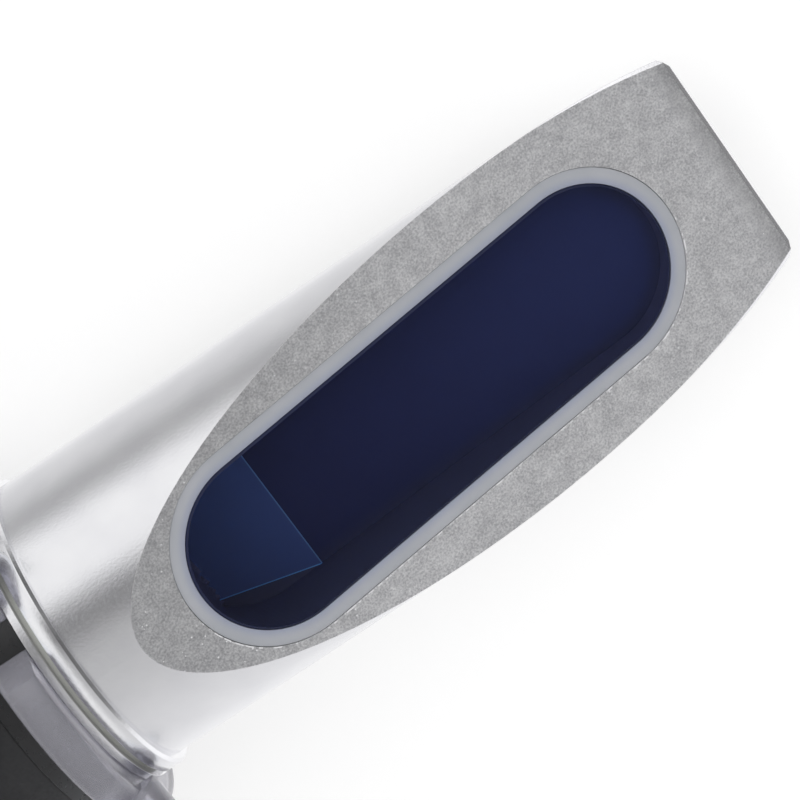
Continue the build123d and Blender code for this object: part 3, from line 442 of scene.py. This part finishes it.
        # The painted highlights take a near-white, less metallic colour here.
        skin = self.blend(tree, bright, skin, linear(self.painted_highlight_colour))
        skin = self.blend(tree, pocket, skin, linear(self.pocket_colour))
        tree.links.new(skin, shader.inputs["Base Color"])

        fine = self.noise(tree, place, self.grain_mm)
        least, most = self.roughness - self.spread, self.roughness + self.spread
        barrel_gloss = self.wander(tree, fine, least, most)
        gloss = add_node(tree, "ShaderNodeMix", {0: on_facet, 2: barrel_gloss, 3: self.facet_roughness})
        tree.links.new(gloss.outputs[0], shader.inputs["Roughness"])
        dull = calculate(tree, "MAXIMUM", pocket, calculate(tree, "MULTIPLY", bright, self.painted_highlight_dullness))
        tree.links.new(calculate(tree, "SUBTRACT", 1.0, dull), shader.inputs["Metallic"])
        shallow = calculate(tree, "MULTIPLY", fine, self.relief_mm / self.facet_relief_mm)
        shallow = calculate(tree, "ADD", shallow, self.crown(tree, place))
        height = add_node(tree, "ShaderNodeMix", {0: on_facet, 2: shallow, 3: cut})
        self.relief(tree, shader, height.outputs[0], self.facet_relief_mm)


@dataclass(frozen=True)
class Clear(Finish):
    """A clear body, glass or acrylic, whose polish shows faint wipe marks.

    Its clarity is the share of the light that passes. The rest is sent back from a milky body.
    """

    clarity: float = 1.0
    specular: float = 0.5
    film_nm: float = 0.0
    film_ior: float = 1.38

    def dress(self, tree: bpy.types.NodeTree, shader: bpy.types.Node) -> None:
        """Make the body as clear as its clarity, and give its polish a faint wander.

        Args:
            tree: the material's node tree.
            shader: its surface shader.
        """
        shader.inputs["Base Color"].default_value = linear(self.colour)
        shader.inputs["Transmission Weight"].default_value = self.clarity
        shader.inputs["Specular IOR Level"].default_value = self.specular
        shader.inputs["Thin Film Thickness"].default_value = self.film_nm
        shader.inputs["Thin Film IOR"].default_value = self.film_ior
        place = self.where(tree)
        cloud = self.noise(tree, place, self.mottle_mm)
        gloss = self.wander(tree, cloud, self.roughness, self.roughness + self.spread)
        tree.links.new(gloss, shader.inputs["Roughness"])
        self.relief(tree, shader, self.noise(tree, place, self.grain_mm), self.relief_mm)


@dataclass(frozen=True)
class PrismGlass(Clear):
    """The prism's polished glass, whose sides and bevel are ground and painted."""

    bevel_mm: float = 0.17
    ground_colour: str = "#151c3c"
    ground_roughness: float = 0.6

    def dress(self, tree: bpy.types.NodeTree, shader: bpy.types.Node) -> None:
        """Keep the sample face clear inside its bevel, and paint the rest.

        Args:
            tree: the material's node tree.
            shader: its surface shader.
        """
        super().dress(tree, shader)
        edge = (FACET.half_width - self.bevel_mm) * MM
        clear = calculate(tree, "LESS_THAN", FACET.spread(tree, own_place(tree)), edge)
        tree.links.new(clear, shader.inputs["Transmission Weight"])
        skin = self.blend(tree, clear, linear(self.ground_colour), linear(self.colour))
        tree.links.new(skin, shader.inputs["Base Color"])
        rough = add_node(tree, "ShaderNodeMix", {0: clear, 2: self.ground_roughness, 3: self.roughness})
        tree.links.new(rough.outputs[0], shader.inputs["Roughness"])


@dataclass(frozen=True)
class Cast(Finish):
    """A milky cast sealant: light goes a little way in, and towards the glass it turns a darker blue-grey, a
    painted shade from the blue prism beside it.
    """

    # Painted shade: the darker blue-grey colour at the sealant's edge by the glass.
    prism_shade_colour: str = "#9ca1b3"
    prism_shade_share: float = 0.6
    milkiness: float = 0.3
    depth_mm: float = 0.8
    depth_tint: Vector3 = (1.0, 1.0, 1.1)

    def dress(self, tree: bpy.types.NodeTree, shader: bpy.types.Node) -> None:
        """Grade the colour, a painted blue-grey shade at the glass, outwards over the shade's share of the
        ring's width, and let light in.

        Args:
            tree: the material's node tree.
            shader: its surface shader.
        """
        super().dress(tree, shader)
        place = own_place(tree)
        cloud = self.noise(tree, place, self.mottle_mm)
        milk = self.tone(tree, cloud, self.shade, self.colour)
        # Painted shade: towards the glass the sealant turns a darker blue-grey, standing in for the blue
        # prism's light and shade on the translucent ring.
        prism_shade_span = (FACET.half_width, FACET.half_width + self.prism_shade_share * FACET.sealant_width)
        outward = remap(tree, FACET.spread(tree, place), in_metres(prism_shade_span), curve="SMOOTHSTEP")
        milk = self.blend(tree, outward, linear(self.prism_shade_colour), milk)
        tree.links.new(milk, shader.inputs["Base Color"])
        shader.inputs["Subsurface Weight"].default_value = self.milkiness
        shader.inputs["Subsurface Radius"].default_value = self.depth_tint
        shader.inputs["Subsurface Scale"].default_value = self.depth_mm * MM


@dataclass(frozen=True)
class PrismPaint(Finish):
    """Deep blue paint on the prism's ground faces, seen through the glass, a little lighter at its edges,
    with two hair-thin painted highlights.

    The glass swallows most of what the paint sends back, so the paint itself is lighter than it looks.
    """

    nose_colour: str = "#353f71"
    level_colour: str = "#455a97"
    wall_colour: str = "#545b86"
    wall_shade: str = "#525a83"
    beyond_colour: str = "#454b6f"
    foot_colour: str = "#343b61"
    foot_mm: Span = (5.3, 6.6)
    wall_fade_mm: Span = (-5.0, 3.0)
    cloud_share: float = 0.15
    # Colours of the two painted highlights on the edges.
    bend_highlight_colour: str = "#5c83c4"
    corner_highlight_colour: str = "#5f9be6"
    highlight_width_mm: float = 0.05
    corner_half_width: float = 6.69
    corner_slope: float = 0.3
    floor_mm: float = 0.12

    def ease(
        self, tree: bpy.types.NodeTree, value: bpy.types.NodeSocket, span: Span
    ) -> bpy.types.NodeSocket:
        """Return the number that goes softly from 0 to 1 as a place in metres crosses a millimetre span."""
        return remap(tree, value, in_metres(span), curve="SMOOTHSTEP")

    def dress(self, tree: bpy.types.NodeTree, shader: bpy.types.Node) -> None:
        """Colour the sloping floor, the level floor, the sides, and two edges with thin painted highlights
        that stand in for the light they catch.

        The level floor ends on each side at a straight edge: with v the distance from the middle, it is
        where v + corner_slope * (bend_x - x) reaches corner_half_width. Past it the paint has the beyond
        colour, close to the wall's.

        Args:
            tree: the material's node tree.
            shader: its surface shader.
        """
        ground = PRISM_FLOOR
        place = own_place(tree)
        parts = split(tree, place)
        across = calculate(tree, "ABSOLUTE", parts["Y"])
        high = self.ease(tree, parts["Z"], self.wall_fade_mm)
        wall = self.blend(tree, high, linear(self.wall_colour), linear(self.wall_shade))
        to_nose = self.ease(tree, parts["X"], (ground.bend_x, ground.nose_x))
        slope = self.blend(tree, to_nose, linear(self.colour), linear(self.nose_colour))
        cloud = self.wander(tree, self.noise(tree, place, self.mottle_mm), 0.0, self.cloud_share)
        slope = self.blend(tree, cloud, slope, linear(self.shade))
        foot = self.ease(tree, FACET.spread(tree, place), self.foot_mm)
        slope = self.blend(tree, foot, slope, linear(self.foot_colour))

        back = calculate(tree, "SUBTRACT", ground.bend_x * MM, parts["X"])
        spare = calculate(tree, "MULTIPLY", calculate(tree, "MAXIMUM", back, 0.0), self.corner_slope)
        edge = calculate(tree, "ADD", across, spare)
        edge = calculate(tree, "SUBTRACT", edge, self.corner_half_width * MM)
        beyond = calculate(tree, "GREATER_THAN", edge, 0.0)
        level = self.blend(tree, beyond, linear(self.level_colour), linear(self.beyond_colour))
        behind = calculate(tree, "GREATER_THAN", back, 0.0)
        floor = self.blend(tree, behind, slope, level)
        # Painted highlights: two hair-thin bright lines, on the corner edge and on the bend, stand in for
        # light caught by these edges.
        on_corner_highlight = calculate(tree, "LESS_THAN", calculate(tree, "ABSOLUTE", edge), self.highlight_width_mm * MM)
        on_corner_highlight = calculate(tree, "MULTIPLY", on_corner_highlight, behind)
        inside = calculate(tree, "LESS_THAN", edge, self.highlight_width_mm * MM)
        on_bend_highlight = calculate(tree, "LESS_THAN", calculate(tree, "ABSOLUTE", back), self.highlight_width_mm * MM)
        on_bend_highlight = calculate(tree, "MULTIPLY", on_bend_highlight, inside)
        floor = self.blend(tree, on_bend_highlight, floor, linear(self.bend_highlight_colour))
        floor = self.blend(tree, on_corner_highlight, floor, linear(self.corner_highlight_colour))

        sink = calculate(tree, "MULTIPLY", calculate(tree, "MINIMUM", back, 0.0), -ground.slope())
        level_z = calculate(tree, "ADD", sink, ground.floor_z * MM)
        over = calculate(tree, "SUBTRACT", parts["Z"], level_z)
        on_floor = calculate(tree, "LESS_THAN", over, self.floor_mm * MM)
        tree.links.new(self.blend(tree, on_floor, wall, floor), shader.inputs["Base Color"])
        shader.inputs["Specular IOR Level"].default_value = 0.0


@dataclass(frozen=True)
class Scale(Finish):
    """A glass disc with a fine printed scale: a long row of ticks beside a middle line."""

    pitch_mm: float = 0.5
    tick_mm: float = 0.1
    tick_reach_mm: float = 1.6
    scale_reach_mm: float = 7.0

    def dress(self, tree: bpy.types.NodeTree, shader: bpy.types.Node) -> None:
        """Print the ticks on otherwise clear glass.

        Args:
            tree: the material's node tree.
            shader: its surface shader.
        """
        super().dress(tree, shader)
        parts = split(tree, own_place(tree))
        step = calculate(tree, "PINGPONG", parts["Z"], 0.5 * self.pitch_mm * MM)
        tick = calculate(tree, "LESS_THAN", step, 0.5 * self.tick_mm * MM)
        beside = calculate(tree, "ABSOLUTE", parts["Y"])
        in_row = calculate(tree, "LESS_THAN", beside, self.tick_reach_mm * MM)
        tick = calculate(tree, "MULTIPLY", tick, in_row)
        line = calculate(tree, "LESS_THAN", beside, 0.5 * self.tick_mm * MM)
        mark = calculate(tree, "MAXIMUM", tick, line)
        up = calculate(tree, "ABSOLUTE", parts["Z"])
        in_scale = calculate(tree, "LESS_THAN", up, self.scale_reach_mm * MM)
        mark = calculate(tree, "MULTIPLY", mark, in_scale)
        ink = self.blend(tree, mark, linear(self.colour), linear(self.shade))
        tree.links.new(ink, shader.inputs["Base Color"])
        tree.links.new(calculate(tree, "SUBTRACT", 1.0, mark), shader.inputs["Transmission Weight"])


def add_piece(name: str, body: str, points: np.ndarray, faces: np.ndarray) -> bpy.types.Object:
    """Make a closed mesh object at the origin and let it ride on a body.

    Args:
        name: the piece's name.
        body: the body that it rides on.
        points: its corners in metres, where corners that fall together are joined.
        faces: the four corner numbers of each face.

    Returns:
        The new object.
    """
    mesh = bpy.data.meshes.new(name)
    mesh.from_pydata(points.tolist(), [], faces.tolist())
    shape = bmesh.new()
    shape.from_mesh(mesh)
    bmesh.ops.remove_doubles(shape, verts=shape.verts, dist=MERGE_MM * MM)
    bmesh.ops.recalc_face_normals(shape, faces=shape.faces)
    shape.to_mesh(mesh)
    shape.free()
    piece = bpy.data.objects.new(name, mesh)
    bpy.context.scene.collection.objects.link(piece)
    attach(piece, body)
    LOG.info("built %s: %d faces, riding on %s", name, len(mesh.polygons), body)
    return piece


def grid_faces(rows: int, columns: int, wrap_rows: bool) -> np.ndarray:
    """Return the four corner numbers of each face of a grid that closes round its columns.

    Args:
        rows: how many rows the grid has.
        columns: how many columns it has.
        wrap_rows: whether the last row joins the first.

    Returns:
        An array of corner numbers, four to a face.
    """
    here = np.arange(rows * columns).reshape(rows, columns)
    above = np.roll(here, -1, axis=0)
    faces = np.stack([here, np.roll(here, -1, axis=1), np.roll(above, -1, axis=1), above], axis=-1)
    return faces[: rows if wrap_rows else rows - 1].reshape(-1, 4)


class Assembly:
    """A group of pieces that are built and dressed together."""

    def dress_nodes(self, finish: Finish, *nodes: str) -> None:
        """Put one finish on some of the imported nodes.

        Args:
            finish: the finish to make.
            nodes: the names of the nodes that wear it.
        """
        material = finish.make()
        for node in nodes:
            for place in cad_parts[node].material_slots:
                place.material = material
            LOG.info("dressed %s in %s", node, finish.name)


@dataclass
class PrismHead(Assembly):
    """The metal head with its glass prism, the paint on the prism's ground faces, and the sealant."""

    exit_x: float = 6.5
    rim_depth: float = 0.25
    paint_inset: float = 0.03
    paint_wall: float = 0.02
    bow_steps: int = 48
    run_steps: int = 80
    wall_rows: int = 24
    floor_rows: int = 16

    def paint_skin(self, inset: float) -> np.ndarray:
        """Return one skin of the paint, from its rim down the wall and across the floor.

        A point of the facet is F + u a + v b, with (u, v) on a stadium q times the window's half width
        from its middle line. From there it goes down along the normal by t: on the wall q is 1 and t
        grows from the rim to the floor, and on the floor q shrinks to 0. The floor is the lower of the
        level plane and the sloping plane, and no point goes behind the exit face.

        Args:
            inset: how far the skin lies inside the glass, in millimetres.

        Returns:
            Rows by columns by three, in millimetres.
        """
        ground = PRISM_FLOOR
        along = np.array(FACET.along())
        normal = np.array(FACET.normal())
        bow = (np.arange(self.bow_steps) + 0.5) * math.pi / self.bow_steps - math.pi / 2
        run = np.arange(self.run_steps + 1) / self.run_steps
        span = FACET.front_centre - FACET.rear_centre
        centre = np.concatenate([
            np.full(self.bow_steps, FACET.front_centre), FACET.front_centre - span * run,
            np.full(self.bow_steps, FACET.rear_centre), FACET.rear_centre + span * run,
        ])
        level_turn = np.full(self.run_steps + 1, math.pi / 2)
        turn = np.concatenate([bow, level_turn, bow + math.pi, level_turn + math.pi])
        reach = np.concatenate([np.ones(self.wall_rows), np.linspace(1, 0, self.floor_rows)])[:, None]
        reach = reach * (FACET.half_width - inset)
        down = centre + reach * np.cos(turn)
        across = reach * np.sin(turn)
        sideways = np.array([0.0, 1.0, 0.0])
        top = np.array(FACET.start) + down[..., None] * along + across[..., None] * sideways
        slope = ground.slope()
        base = ground.floor_z - slope * ground.bend_x + inset
        level = (top[..., 2] - ground.floor_z - inset) / normal[2]
        sloping = (top[..., 2] - base - slope * top[..., 0]) / (normal[2] - slope * normal[0])
        to_exit = (top[..., 0] - self.exit_x - inset) / normal[0]
        depth = np.minimum(np.maximum(level, sloping), to_exit)
        share = np.concatenate([np.linspace(0, 1, self.wall_rows), np.ones(self.floor_rows)])[:, None]
        depth = self.rim_depth + share * (depth - self.rim_depth)
        return top - depth[..., None] * normal

    def build(self) -> bpy.types.Object:
        """Build the paint as a closed cup, two skins joined at the rim.

        Returns:
            The paint's object.
        """
        outer = self.paint_skin(self.paint_inset)
        inner = self.paint_skin(self.paint_inset + self.paint_wall)
        points = np.concatenate([outer, inner[::-1]]) * MM
        faces = grid_faces(points.shape[0], points.shape[1], True)
        return add_piece("prism_paint", "refractometer", points.reshape(-1, 3), faces)

    def dress(self, paint: bpy.types.Object) -> None:
        """Dress the head, the prism, its paint and the sealant.

        Args:
            paint: the paint's object.
        """
        # Blasted aluminium under a clear anodic film: a soft silver sheen, and a duller speckled facet with
        # painted glints and a painted highlight along its rim.
        self.dress_nodes(
            BlastedHead("blasted anodised head", "#f0f0f2", "#e9e9ec", 0.22, metallic=1.0,
                        grain_mm=0.2, relief_mm=0.009, spread=0.03, edge_mm=0.06),
            "prism_head",
        )
        # Polished optical glass: sharp faint reflections above, and the paint's blue from below.
        self.dress_nodes(
            PrismGlass("polished optical glass", "#ffffff", "#ffffff", 0.0, ior=1.6, grain_mm=2.0,
                       relief_mm=0.0, spread=0.004, edge_mm=0.05, specular=0.3),
            "measuring_prism",
        )
        # Cast sealant: a milky, satin ring that glows a little, with a painted blue-grey shade beside the
        # blue glass.
        self.dress_nodes(
            Cast("milky cast sealant", "#b0b2b8", "#a8abb1", 0.42, ior=1.41, grain_mm=0.4, relief_mm=0.006,
                 edge_mm=0.03),
            "prism_sealant",
        )
        # Blue paint under thick glass: deep navy, lighter at the hinge end, with two hair-thin painted
        # highlights on its edges.
        finish = PrismPaint("deep blue prism paint", "#2d3461", "#272e58", 0.6, mottle_mm=9.0)
        paint.data.materials.append(finish.make())


class Neck(Assembly):
    """The tube behind the head, the gasket, the hinge with its plate, and the small steel parts."""

    def dress(self) -> None:
        """Dress the tube, the hinge and the steel."""
        # Drawn and blasted tube: the same silver as the head.
        self.dress_nodes(
            Finish("blasted anodised tube", "#efeff1", "#e7e7ea", 0.24, metallic=1.0, grain_mm=0.2,
                   relief_mm=0.009, spread=0.03, edge_mm=0.06),
            "main_tube",
        )
        # Silicone cord: a dull mid grey with the faint bloom of moulded rubber.
        self.dress_nodes(
            Finish("silicone gasket", "#b4b5b0", "#a8a9a4", 0.5, ior=1.41, grain_mm=0.2),
            "head_gasket",
        )
        # Injection-moulded black plastic: a deep black with a half gloss that softens every reflection.
        self.dress_nodes(
            Finish("half gloss black plastic", "#1c1c1e", "#161618", 0.3, ior=1.53, grain_mm=0.5,
                   relief_mm=0.003),
            "hinge_seat",
        )
        # Clear moulded acrylic with a cool cast, edges that gather light, and hair-fine wipe marks.
        self.dress_nodes(
            Clear("clear moulded acrylic", "#f4f6fa", "#ffffff", 0.03, ior=1.49, grain_mm=5.0,
                  relief_mm=0.002, spread=0.03, edge_mm=0.15),
            "daylight_plate",
        )
        # The same acrylic, left as it came from a blasted mould: a milky grey haze that still lets light by.
        self.dress_nodes(
            Clear("hazy moulded acrylic", "#d2d1da", "#ffffff", 0.2, ior=1.49, grain_mm=5.0,
                  relief_mm=0.002, spread=0.05, edge_mm=0.2, clarity=0.74),
            "hinge_clip",
        )
        # Turned stainless steel: bright and neutral, with small soft highlights.
        self.dress_nodes(
            Finish("turned stainless steel", "#cfcfd2", "#c2c2c6", 0.2, metallic=1.0, grain_mm=0.12,
                   relief_mm=0.002, edge_mm=0.06),
            "hinge_pins", "guide_pin", "strip_screws", "bimetal_strip",
        )


class Grip(Assembly):
    """The fluted rubber grip, the calibration screw and its cap."""

    def dress(self) -> None:
        """Dress the rubber, the brass and the circlips."""
        # Moulded rubber: charcoal, dull, with a fine spark-eroded grain that breaks up its sheen.
        self.dress_nodes(
            Finish("moulded rubber", "#232325", "#1b1b1d", 0.55, ior=1.52, grain_mm=0.28, relief_mm=0.014,
                   spread=0.08, edge_mm=0.35),
            "rubber_grip", "calibration_cap",
        )
        # Turned brass: warm, with fine rings from the tool.
        self.dress_nodes(
            Finish("turned brass", "#dcbd76", "#cfae66", 0.22, metallic=1.0, grain_mm=0.3, relief_mm=0.002,
                   edge_mm=0.06, grain=Grain.TURNED),
            "calibration_bush", "calibration_screw", "adjuster_block",
        )
        # Spring steel: oiled, so dark, a little blue and softly shining.
        self.dress_nodes(
            Finish("oiled spring steel", "#8e9097", "#7d8088", 0.3, metallic=1.0, grain_mm=0.3, edge_mm=0.05),
            "screw_circlip", "snap_ring",
        )


class Optics(Assembly):
    """The lenses, their black mounts and the reticle."""

    def dress(self) -> None:
        """Dress the mounts, the lenses and the reticle."""
        # Black anodised aluminium, turned: almost no colour, and a tight grey sheen in rings.
        self.dress_nodes(
            Finish("black anodised aluminium", "#1a1a1d", "#141416", 0.34, ior=1.6, grain_mm=0.35,
                   relief_mm=0.004, edge_mm=0.08, grain=Grain.TURNED),
            "light_baffle", "objective_cell", "lens_retainer", "focus_bush", "reticle_retainer", "focus_nut",
            "lens_barrel", "lens_spacer", "eye_lens_retainer",
        )
        # Coated lens glass: a thin film turns its faint reflections blue-violet.
        self.dress_nodes(
            Clear("coated lens glass", "#ffffff", "#ffffff", 0.0, ior=1.52, grain_mm=3.0, relief_mm=0.0,
                  spread=0.004, edge_mm=0.03, film_nm=110.0),
            "crown_lens", "flint_lens", "field_lens", "eye_lens",
        )
        # Reticle glass: clear, with a fine row of ticks printed in blue-black ink.
        self.dress_nodes(
            Scale("printed reticle glass", "#ffffff", "#16203a", 0.02, ior=1.52, relief_mm=0.0, edge_mm=0.03),
            "reticle",
        )


class Eyepiece(Assembly):
    """The focus ring, its slip washer and the rubber eyecup."""

    def dress(self) -> None:
        """Dress the ring, the washer and the eyecup."""
        # Slip washer: a waxy white plastic with a faint sheen.
        self.dress_nodes(Finish("waxy slip plastic", "#dcdcd6", "#d2d2cb", 0.4, ior=1.38), "focus_washer")
        # Moulded ABS: black, with a dull spark-eroded gloss between the knurls.
        self.dress_nodes(
            Finish("moulded black plastic", "#1d1d1f", "#171719", 0.38, ior=1.54, grain_mm=0.22,
                   relief_mm=0.006, edge_mm=0.12),
            "focus_ring",
        )
        # Softer rubber than the grip, with a bloom of fine dust in its grain.
        self.dress_nodes(
            Finish("soft eyecup rubber", "#252527", "#1a1a1c", 0.62, ior=1.52, grain_mm=0.35,
                   relief_mm=0.012, spread=0.08, edge_mm=0.3),
            "eyecup",
        )


# The angle about the instrument's axis, from Z towards Y, and how bright the studio is there. The levels are
# set so that the barrel's bright and dark bands lie and look as in the photograph.
SOFTBOXES = (
    (-180, 1.00), (-160, 1.06), (-139, 1.00), (-115, 0.88), (-91, 0.80), (-67, 0.74), (-43, 0.61),
    (-19, 0.53), (-5, 0.51), (8, 0.42), (17, 0.25), (29, 0.18), (39, 0.57), (50, 1.10), (65, 1.20),
    (78, 1.13), (89, 1.00), (101, 0.62), (113, 0.38), (125, 0.54), (137, 0.70), (150, 0.75), (165, 0.80),
    (180, 1.00),
)


@dataclass
class Studio(Assembly):
    """The pale floor, the soft light and the camera."""

    floor_z: float = -14.81
    floor_half: float = 1500.0
    camera_at: Vector3 = (73.002, 108.234, 310.648)
    camera_right: Vector3 = (0.82510556, -0.55988851, 0.0756682)
    camera_up: Vector3 = (0.54891732, 0.76271953, -0.34197763)
    camera_back: Vector3 = (0.13375573, 0.32370323, 0.93665662)
    lens_mm: float = 201.1
    sensor_mm: float = 36.0
    clip_m: Span = (0.01, 20.0)
    paper_colour: str = "#b4b4b4"
    paper_lift: float = 0.62
    bounce_colour: str = "#e6e6e6"
    sky_level: float = 0.7
    softbox_tint: float = 1.01
    dim_way: Vector3 = (0.491, -0.324, 0.809)
    dim_span: Span = (0.964, 0.995)
    dim_level: float = 0.12
    ahead_span: Span = (0.68, 0.88)
    ahead_level: float = 0.2
    front_span: Span = (0.2, 0.4)
    front_level: float = 1.28
    behind_span: Span = (-0.34, -0.5)
    key_level: float = 1.0
    key_width: float = 50.0
    key_turn: Span = (-28.0, -18.0)

    def floor(self) -> None:
        """Lay the floor: white to the camera, with the object's soft shadow, and unseen by the metal."""
        half = self.floor_half * MM
        height = self.floor_z * MM
        mesh = bpy.data.meshes.new("studio_floor")
        corners = [(-half, -half, height), (half, -half, height), (half, half, height), (-half, half, height)]
        mesh.from_pydata(corners, [], [(0, 1, 2, 3)])
        floor = bpy.data.objects.new("studio_floor", mesh)
        bpy.context.scene.collection.objects.link(floor)
        material = bpy.data.materials.new("white paper floor")
        material.use_nodes = True
        tree = material.node_tree
        tree.nodes.clear()
        paper = add_node(tree, "ShaderNodeBsdfDiffuse", {"Color": linear(self.paper_colour)})
        lift = add_node(tree, "ShaderNodeEmission", {"Strength": self.paper_lift})
        seen = add_node(tree, "ShaderNodeAddShader", {0: paper.outputs[0], 1: lift.outputs[0]})
        rays = add_node(tree, "ShaderNodeLightPath")
        shown = calculate(tree, "MAXIMUM", rays.outputs["Is Camera Ray"], rays.outputs["Is Transmission Ray"])
        plain = add_node(tree, "ShaderNodeBsdfDiffuse", {"Color": linear(self.bounce_colour)})
        either = add_node(tree, "ShaderNodeMixShader", {0: shown, 1: plain.outputs[0], 2: seen.outputs[0]})
        open_to_sky = add_node(tree, "ShaderNodeBsdfTransparent")
        whole = add_node(
            tree,
            "ShaderNodeMixShader",
            {0: rays.outputs["Is Glossy Ray"], 1: either.outputs[0], 2: open_to_sky.outputs[0]},
        )
        add_node(tree, "ShaderNodeOutputMaterial", {"Surface": whole.outputs[0]})
        mesh.materials.append(material)

    def sky(self) -> None:
        """Make the surroundings: even light, a white backdrop, and softboxes that the metal mirrors.

        The softboxes run along the instrument, so their brightness depends on a direction's angle about
        X, from Z towards Y. Four things vary it:
        - dim: a patch round dim_way, the direction that the facet mirrors to the camera, is darker;
        - front: directions that lean towards the tip are a little brighter;
        - ahead: those close to the axis beyond the tip are darker;
        - behind: those that lean back past behind_span turn plain white.
        """
        world = bpy.data.worlds.new("studio")
        bpy.context.scene.world = world
        world.use_nodes = True
        tree = world.node_tree
        tree.nodes.clear()
        way = add_node(tree, "ShaderNodeTexCoord").outputs["Generated"]
        parts = split(tree, way)
        angle = calculate(tree, "ARCTAN2", parts["Y"], parts["Z"])
        turn = calculate(tree, "ADD", calculate(tree, "DIVIDE", angle, 2 * math.pi), 0.5)
        ramp = add_node(tree, "ShaderNodeValToRGB", {0: turn})
        ramp.color_ramp.interpolation = "B_SPLINE"
        elements = ramp.color_ramp.elements
        while len(elements) < len(SOFTBOXES):
            elements.new(0.5)
        for element, (degrees, level) in zip(elements, SOFTBOXES):
            element.position = degrees / 360 + 0.5
            element.color = (level, level, level * self.softbox_tint, 1.0)
        toward = dot_product(tree, way, self.dim_way)
        dim = remap(tree, toward, self.dim_span, (1.0, self.dim_level), "SMOOTHSTEP")
        ahead = remap(tree, parts["X"], self.ahead_span, (1.0, self.ahead_level), "SMOOTHSTEP")
        front = remap(tree, parts["X"], self.front_span, (1.0, self.front_level))
        level = calculate(tree, "MULTIPLY", calculate(tree, "MULTIPLY", dim, ahead), front)
        behind = remap(tree, parts["X"], self.behind_span)
        colours = {0: behind, 6: ramp.outputs[0], 7: WHITE}
        colour = add_node(tree, "ShaderNodeMix", colours, data_type="RGBA").outputs[2]
        boxes = add_node(tree, "ShaderNodeBackground", {"Color": colour, "Strength": level})
        even = add_node(tree, "ShaderNodeBackground", {"Color": WHITE, "Strength": self.sky_level})
        white = add_node(tree, "ShaderNodeBackground", {"Color": WHITE, "Strength": 1.0})
        rays = add_node(tree, "ShaderNodeLightPath")
        lit = add_node(
            tree,
            "ShaderNodeMixShader",
            {0: rays.outputs["Is Glossy Ray"], 1: even.outputs[0], 2: boxes.outputs[0]},
        )
        shown = calculate(tree, "MAXIMUM", rays.outputs["Is Camera Ray"], rays.outputs["Is Transmission Ray"])
        whole = add_node(tree, "ShaderNodeMixShader", {0: shown, 1: lit.outputs[0], 2: white.outputs[0]})
        add_node(tree, "ShaderNodeOutputWorld", {"Surface": whole.outputs[0]})

    def lamp(self) -> None:
        """Hang one broad soft lamp that gives the shadow its side."""
        light = bpy.data.lights.new("key_softbox", "SUN")
        light.energy = self.key_level
        light.angle = math.radians(self.key_width)
        lamp = bpy.data.objects.new("key_softbox", light)
        bpy.context.scene.collection.objects.link(lamp)
        lamp.rotation_euler = (math.radians(self.key_turn[0]), math.radians(self.key_turn[1]), 0.0)
        lamp.visible_glossy = False

    def camera(self) -> None:
        """Set the camera where the photograph was taken from."""
        eye = bpy.data.cameras.new("camera")
        eye.lens = self.lens_mm
        eye.sensor_width = self.sensor_mm
        eye.clip_start, eye.clip_end = self.clip_m
        camera = bpy.data.objects.new("camera", eye)
        bpy.context.scene.collection.objects.link(camera)
        turn = np.eye(4)
        turn[:3, :3] = np.stack([self.camera_right, self.camera_up, self.camera_back], axis=1)
        turn[:3, 3] = np.array(self.camera_at) * MM
        camera.matrix_world = Matrix(turn.tolist())
        bpy.context.scene.camera = camera

    def build(self) -> None:
        """Build the whole studio."""
        self.floor()
        self.sky()
        self.lamp()
        self.camera()
        bpy.context.scene.view_settings.view_transform = "Standard"
        LOG.info("built the studio")


def main() -> None:
    """Build and dress every assembly in order."""
    logging.basicConfig(level=logging.INFO, format="%(name)s: %(message)s")
    head = PrismHead()
    head.dress(head.build())
    Neck().dress()
    Grip().dress()
    Optics().dress()
    Eyepiece().dress()
    Studio().build()


if __name__ == "__main__":
    main()
